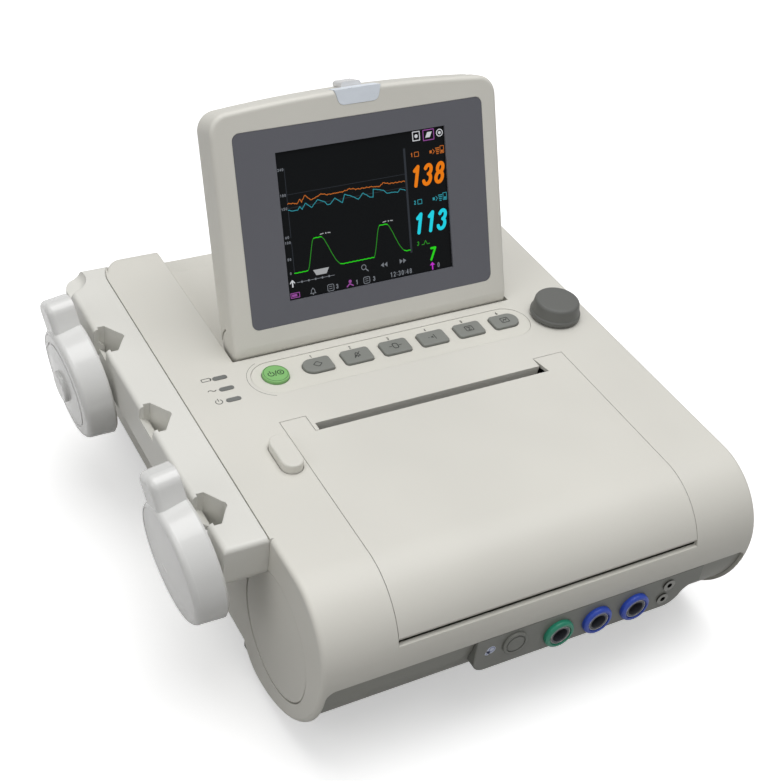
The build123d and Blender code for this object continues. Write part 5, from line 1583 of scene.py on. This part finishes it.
@dataclass
class Recorder:
    """Details inside the recorder that the slot and the open door show.

    Attributes:
        head_y: the thermal head's front face.
        tray_x: the recorder's middle.
        line_length, line_z, trace_count: the heater line, and the conductors that feed it.
        slot_length, slot_back_y: the paper slot.
        frame_top, panel_under: what the guide stands on and what it ends under.
    """

    head_y: float = -35.3
    tray_x: float = -1.5
    line_length: float = 148.0
    line_z: float = 112.6
    trace_count: int = 25
    slot_length: float = 161.0
    slot_back_y: float = -30.0
    frame_top: float = 116.7
    panel_under: float = 121.97

    def heater(self) -> None:
        """The glazed heater line across the thermal head."""
        plane = facing((self.tray_x, self.head_y, 0), RIGHT, UP)
        sheet = Sheet("heater_line", plane, lift=0.02, thickness=0.04)
        sheet.box(0, self.line_z, self.line_length, 1.4)
        for k in range(self.trace_count):
            x = -self.line_length / 2 + 3 + k * (self.line_length - 6) / (self.trace_count - 1)
            sheet.stroke([(x, self.line_z - 9.6), (x, self.line_z - 2.0)], 0.3)
        sheet.lay(Palette.heater, Body.CASE)

    def guide(self) -> None:
        """The moulded guide that closes the paper slot behind the thermal head."""
        back, low, high = self.slot_back_y, self.frame_top, self.panel_under
        outline = [(back, high), (back + 1.0, high), (back + 1.0, low), (back - 0.5, low),
                   (back - 0.9, low + 0.5), (back - 0.6, low + 1.0), (back, low + 1.5)]
        mesh = bmesh.new()
        ends = [[mesh.verts.new(((self.tray_x + side * self.slot_length / 2) * MM, y * MM, z * MM))
                 for y, z in outline] for side in (-1, 1)]
        mesh.faces.new(ends[0])
        mesh.faces.new(reversed(ends[1]))
        count = len(outline)
        for k in range(count):
            after = (k + 1) % count
            mesh.faces.new((ends[0][after], ends[0][k], ends[1][k], ends[1][after]))
        bmesh.ops.recalc_face_normals(mesh, faces=mesh.faces)
        # the darker cream is painted shade on the guide inside the paper slot
        keep("paper_guide", mesh, Palette.shaded_cover, Body.CASE)

    def build(self) -> None:
        """Make the recorder's details."""
        self.heater()
        self.guide()


@dataclass
class Underside:
    """Details of the base: dark crosses painted on the screws as the shade of their driver recesses."""

    screw_places: tuple[Point, ...] = ((-130, -62), (-130, 120), (130, -62), (130, 120))
    head_z: float = 3.9
    reach: float = 1.4
    line: float = 0.6

    def build(self) -> None:
        """Paint a dark cross on each screw head as the shade of its cross recess."""
        plane = facing((0, 0, self.head_z), RIGHT, (0, -1, 0))
        sheet = Sheet("screw_recess_shade", plane, lift=0.01, thickness=0.03)
        for x, y in self.screw_places:
            sheet.stroke([(x - self.reach, -y), (x + self.reach, -y)], self.line)
            sheet.stroke([(x, -y - self.reach), (x, -y + self.reach)], self.line)
        # painted shade of the cross recesses
        sheet.lay(Palette.ink, Body.CASE)


@dataclass
class Studio:
    """Camera, lamps, floor and sky.

    Attributes:
        camera_place: where the camera stands, in millimetres.
        azimuth, elevation, roll: how it is turned, in degrees.
        focal_pixels: its focal length in pixels of the frame.
        frame_pixels: the frame's width and height.
        bounce: the table's colour as light that it throws back up.
        fill: strength of the sky's light.
        lift: the table's own brightness near the monitor, as the camera sees it.
        shadow_reach: how far from its middle the table keeps a shadow, in metres.
        table_half, table_tones: the table's half width in metres, and the two shades of its top.
        aim: the point that the lamps look at.
        lamps: each lamp's name, place, side and power.
    """

    camera_place: tuple[float, float, float] = (-402.16, -607.01, 675.63)
    azimuth: float = -32.672
    elevation: float = 38.209
    roll: float = 7.622
    focal_pixels: float = 1428.2
    frame_pixels: tuple[int, int] = (780, 781)
    bounce: Colour = srgb(132, 131, 128)
    fill: float = 0.4
    lift: float = 0.42
    shadow_reach: float = 0.6
    table_half: float = 6.0
    table_tones: tuple[Colour, Colour] = (srgb(246, 246, 246), srgb(250, 250, 250))
    aim: tuple[float, float, float] = (0.0, 0.0, 0.1)
    lamps: tuple = (("key", (0.12, 0.08, 1.95), 1.8, 25.0), ("left_fill", (-1.7, -0.4, 1.2), 1.2, 4.5))

    def camera(self) -> None:
        """Place the camera that looks down on the monitor from its left front."""
        az, el, roll = (math.radians(v) for v in (self.azimuth, self.elevation, self.roll))
        ahead = Vector((-math.sin(az) * math.cos(el), math.cos(az) * math.cos(el), -math.sin(el)))
        level = ahead.cross(Vector((0, 0, 1))).normalized()
        upright = level.cross(ahead)
        right = level * math.cos(roll) + upright * math.sin(roll)
        up = upright * math.cos(roll) - level * math.sin(roll)
        data = bpy.data.cameras.new("camera")
        data.sensor_width = 36.0
        data.lens = 36.0 * self.focal_pixels / max(self.frame_pixels)
        data.clip_start, data.clip_end = 0.01, 50.0
        camera = bpy.data.objects.new("camera", data)
        rows = [[right[k], up[k], -ahead[k], self.camera_place[k] * MM] for k in range(3)]
        camera.matrix_world = Matrix(rows + [[0, 0, 0, 1]])
        bpy.context.scene.collection.objects.link(camera)
        bpy.context.scene.camera = camera

    def lamp(self, name: str, place: Sequence[float], size: float, power: float) -> None:
        """Add a soft square lamp.

        Args:
            name: the lamp's name.
            place: where it hangs, in metres.
            size: its side, in metres.
            power: its power in watts.
        """
        data = bpy.data.lights.new(name, "AREA")
        data.shape, data.size, data.energy = "SQUARE", size, power
        lamp = bpy.data.objects.new(name, data)
        lamp.location = place
        lamp.rotation_euler = (Vector(self.aim) - Vector(place)).to_track_quat("-Z", "Y").to_euler()
        bpy.context.scene.collection.objects.link(lamp)

    def sky(self) -> None:
        """White for the camera and for rays through clear parts, a softer grey as fill light."""
        world = bpy.data.worlds.new("sky")
        bpy.context.scene.world = world
        world.use_nodes = True
        graph = Graph(world.node_tree)
        background = world.node_tree.nodes["Background"]
        background.inputs["Color"].default_value = (1.0, 1.0, 1.0, 1.0)
        rays = graph.add("ShaderNodeLightPath")
        seen = graph.math("MAXIMUM", rays.outputs["Is Camera Ray"], rays.outputs["Is Transmission Ray"])
        graph.link(graph.spread(seen, 0.0, 1.0, self.fill, 1.0), background.inputs["Strength"])

    def floor(self) -> None:
        """A wide pale table that keeps the monitor's shadow."""
        mesh = bmesh.new()
        bmesh.ops.create_grid(mesh, x_segments=8, y_segments=8, size=self.table_half)
        data = bpy.data.meshes.new("table")
        mesh.to_mesh(data)
        mesh.free()
        material = bpy.data.materials.new("table_white")
        material.use_nodes = True
        graph = Graph(material.node_tree)
        shader = material.node_tree.nodes["Principled BSDF"]
        place = graph.place()
        tone = graph.even(graph.noise(place, 3.0))
        mix = graph.add("ShaderNodeMix", data_type="RGBA")
        graph.link(tone, mix.inputs["Factor"])
        mix.inputs["A"].default_value, mix.inputs["B"].default_value = self.table_tones
        rays = graph.add("ShaderNodeLightPath")
        seen = graph.math("MAXIMUM", graph.math("MAXIMUM", rays.outputs["Is Camera Ray"],
                                                rays.outputs["Is Glossy Ray"]),
                          rays.outputs["Is Transmission Ray"])
        bounce = graph.add("ShaderNodeMix", data_type="RGBA")
        graph.link(seen, bounce.inputs["Factor"])
        bounce.inputs["A"].default_value = self.bounce
        graph.link(mix.outputs["Result"], bounce.inputs["B"])
        graph.link(bounce.outputs["Result"], shader.inputs["Base Color"])
        shader.inputs["Emission Color"].default_value = (1.0, 1.0, 1.0, 1.0)
        away = graph.add("ShaderNodeVectorMath", operation="LENGTH")
        graph.link(place, away.inputs[0])
        glow = graph.spread(away.outputs["Value"], self.shadow_reach, 3 * self.shadow_reach, self.lift, 1.0)
        strength = graph.math("MULTIPLY", rays.outputs["Is Camera Ray"], glow)
        graph.link(strength, shader.inputs["Emission Strength"])
        shader.inputs["Roughness"].default_value = 0.8
        shader.inputs["Specular IOR Level"].default_value = 0.2
        data.materials.append(material)
        table = bpy.data.objects.new("table", data)
        bpy.context.scene.collection.objects.link(table)

    def build(self) -> None:
        """Set the whole studio up."""
        bpy.context.scene.view_settings.view_transform = "Standard"
        self.camera()
        self.sky()
        self.floor()
        for lamp in self.lamps:
            self.lamp(*lamp)


def main() -> None:
    """Load the model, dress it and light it."""
    logging.basicConfig(level=logging.INFO, format="%(name)s: %(message)s")
    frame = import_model()
    Studio().build()
    Covers(frame).dress()
    KeyRow().build()
    StatusLamps().build()
    FrontSockets().build()
    Display().build()
    Recorder().build()
    Underside().build()


if __name__ == "__main__":
    main()
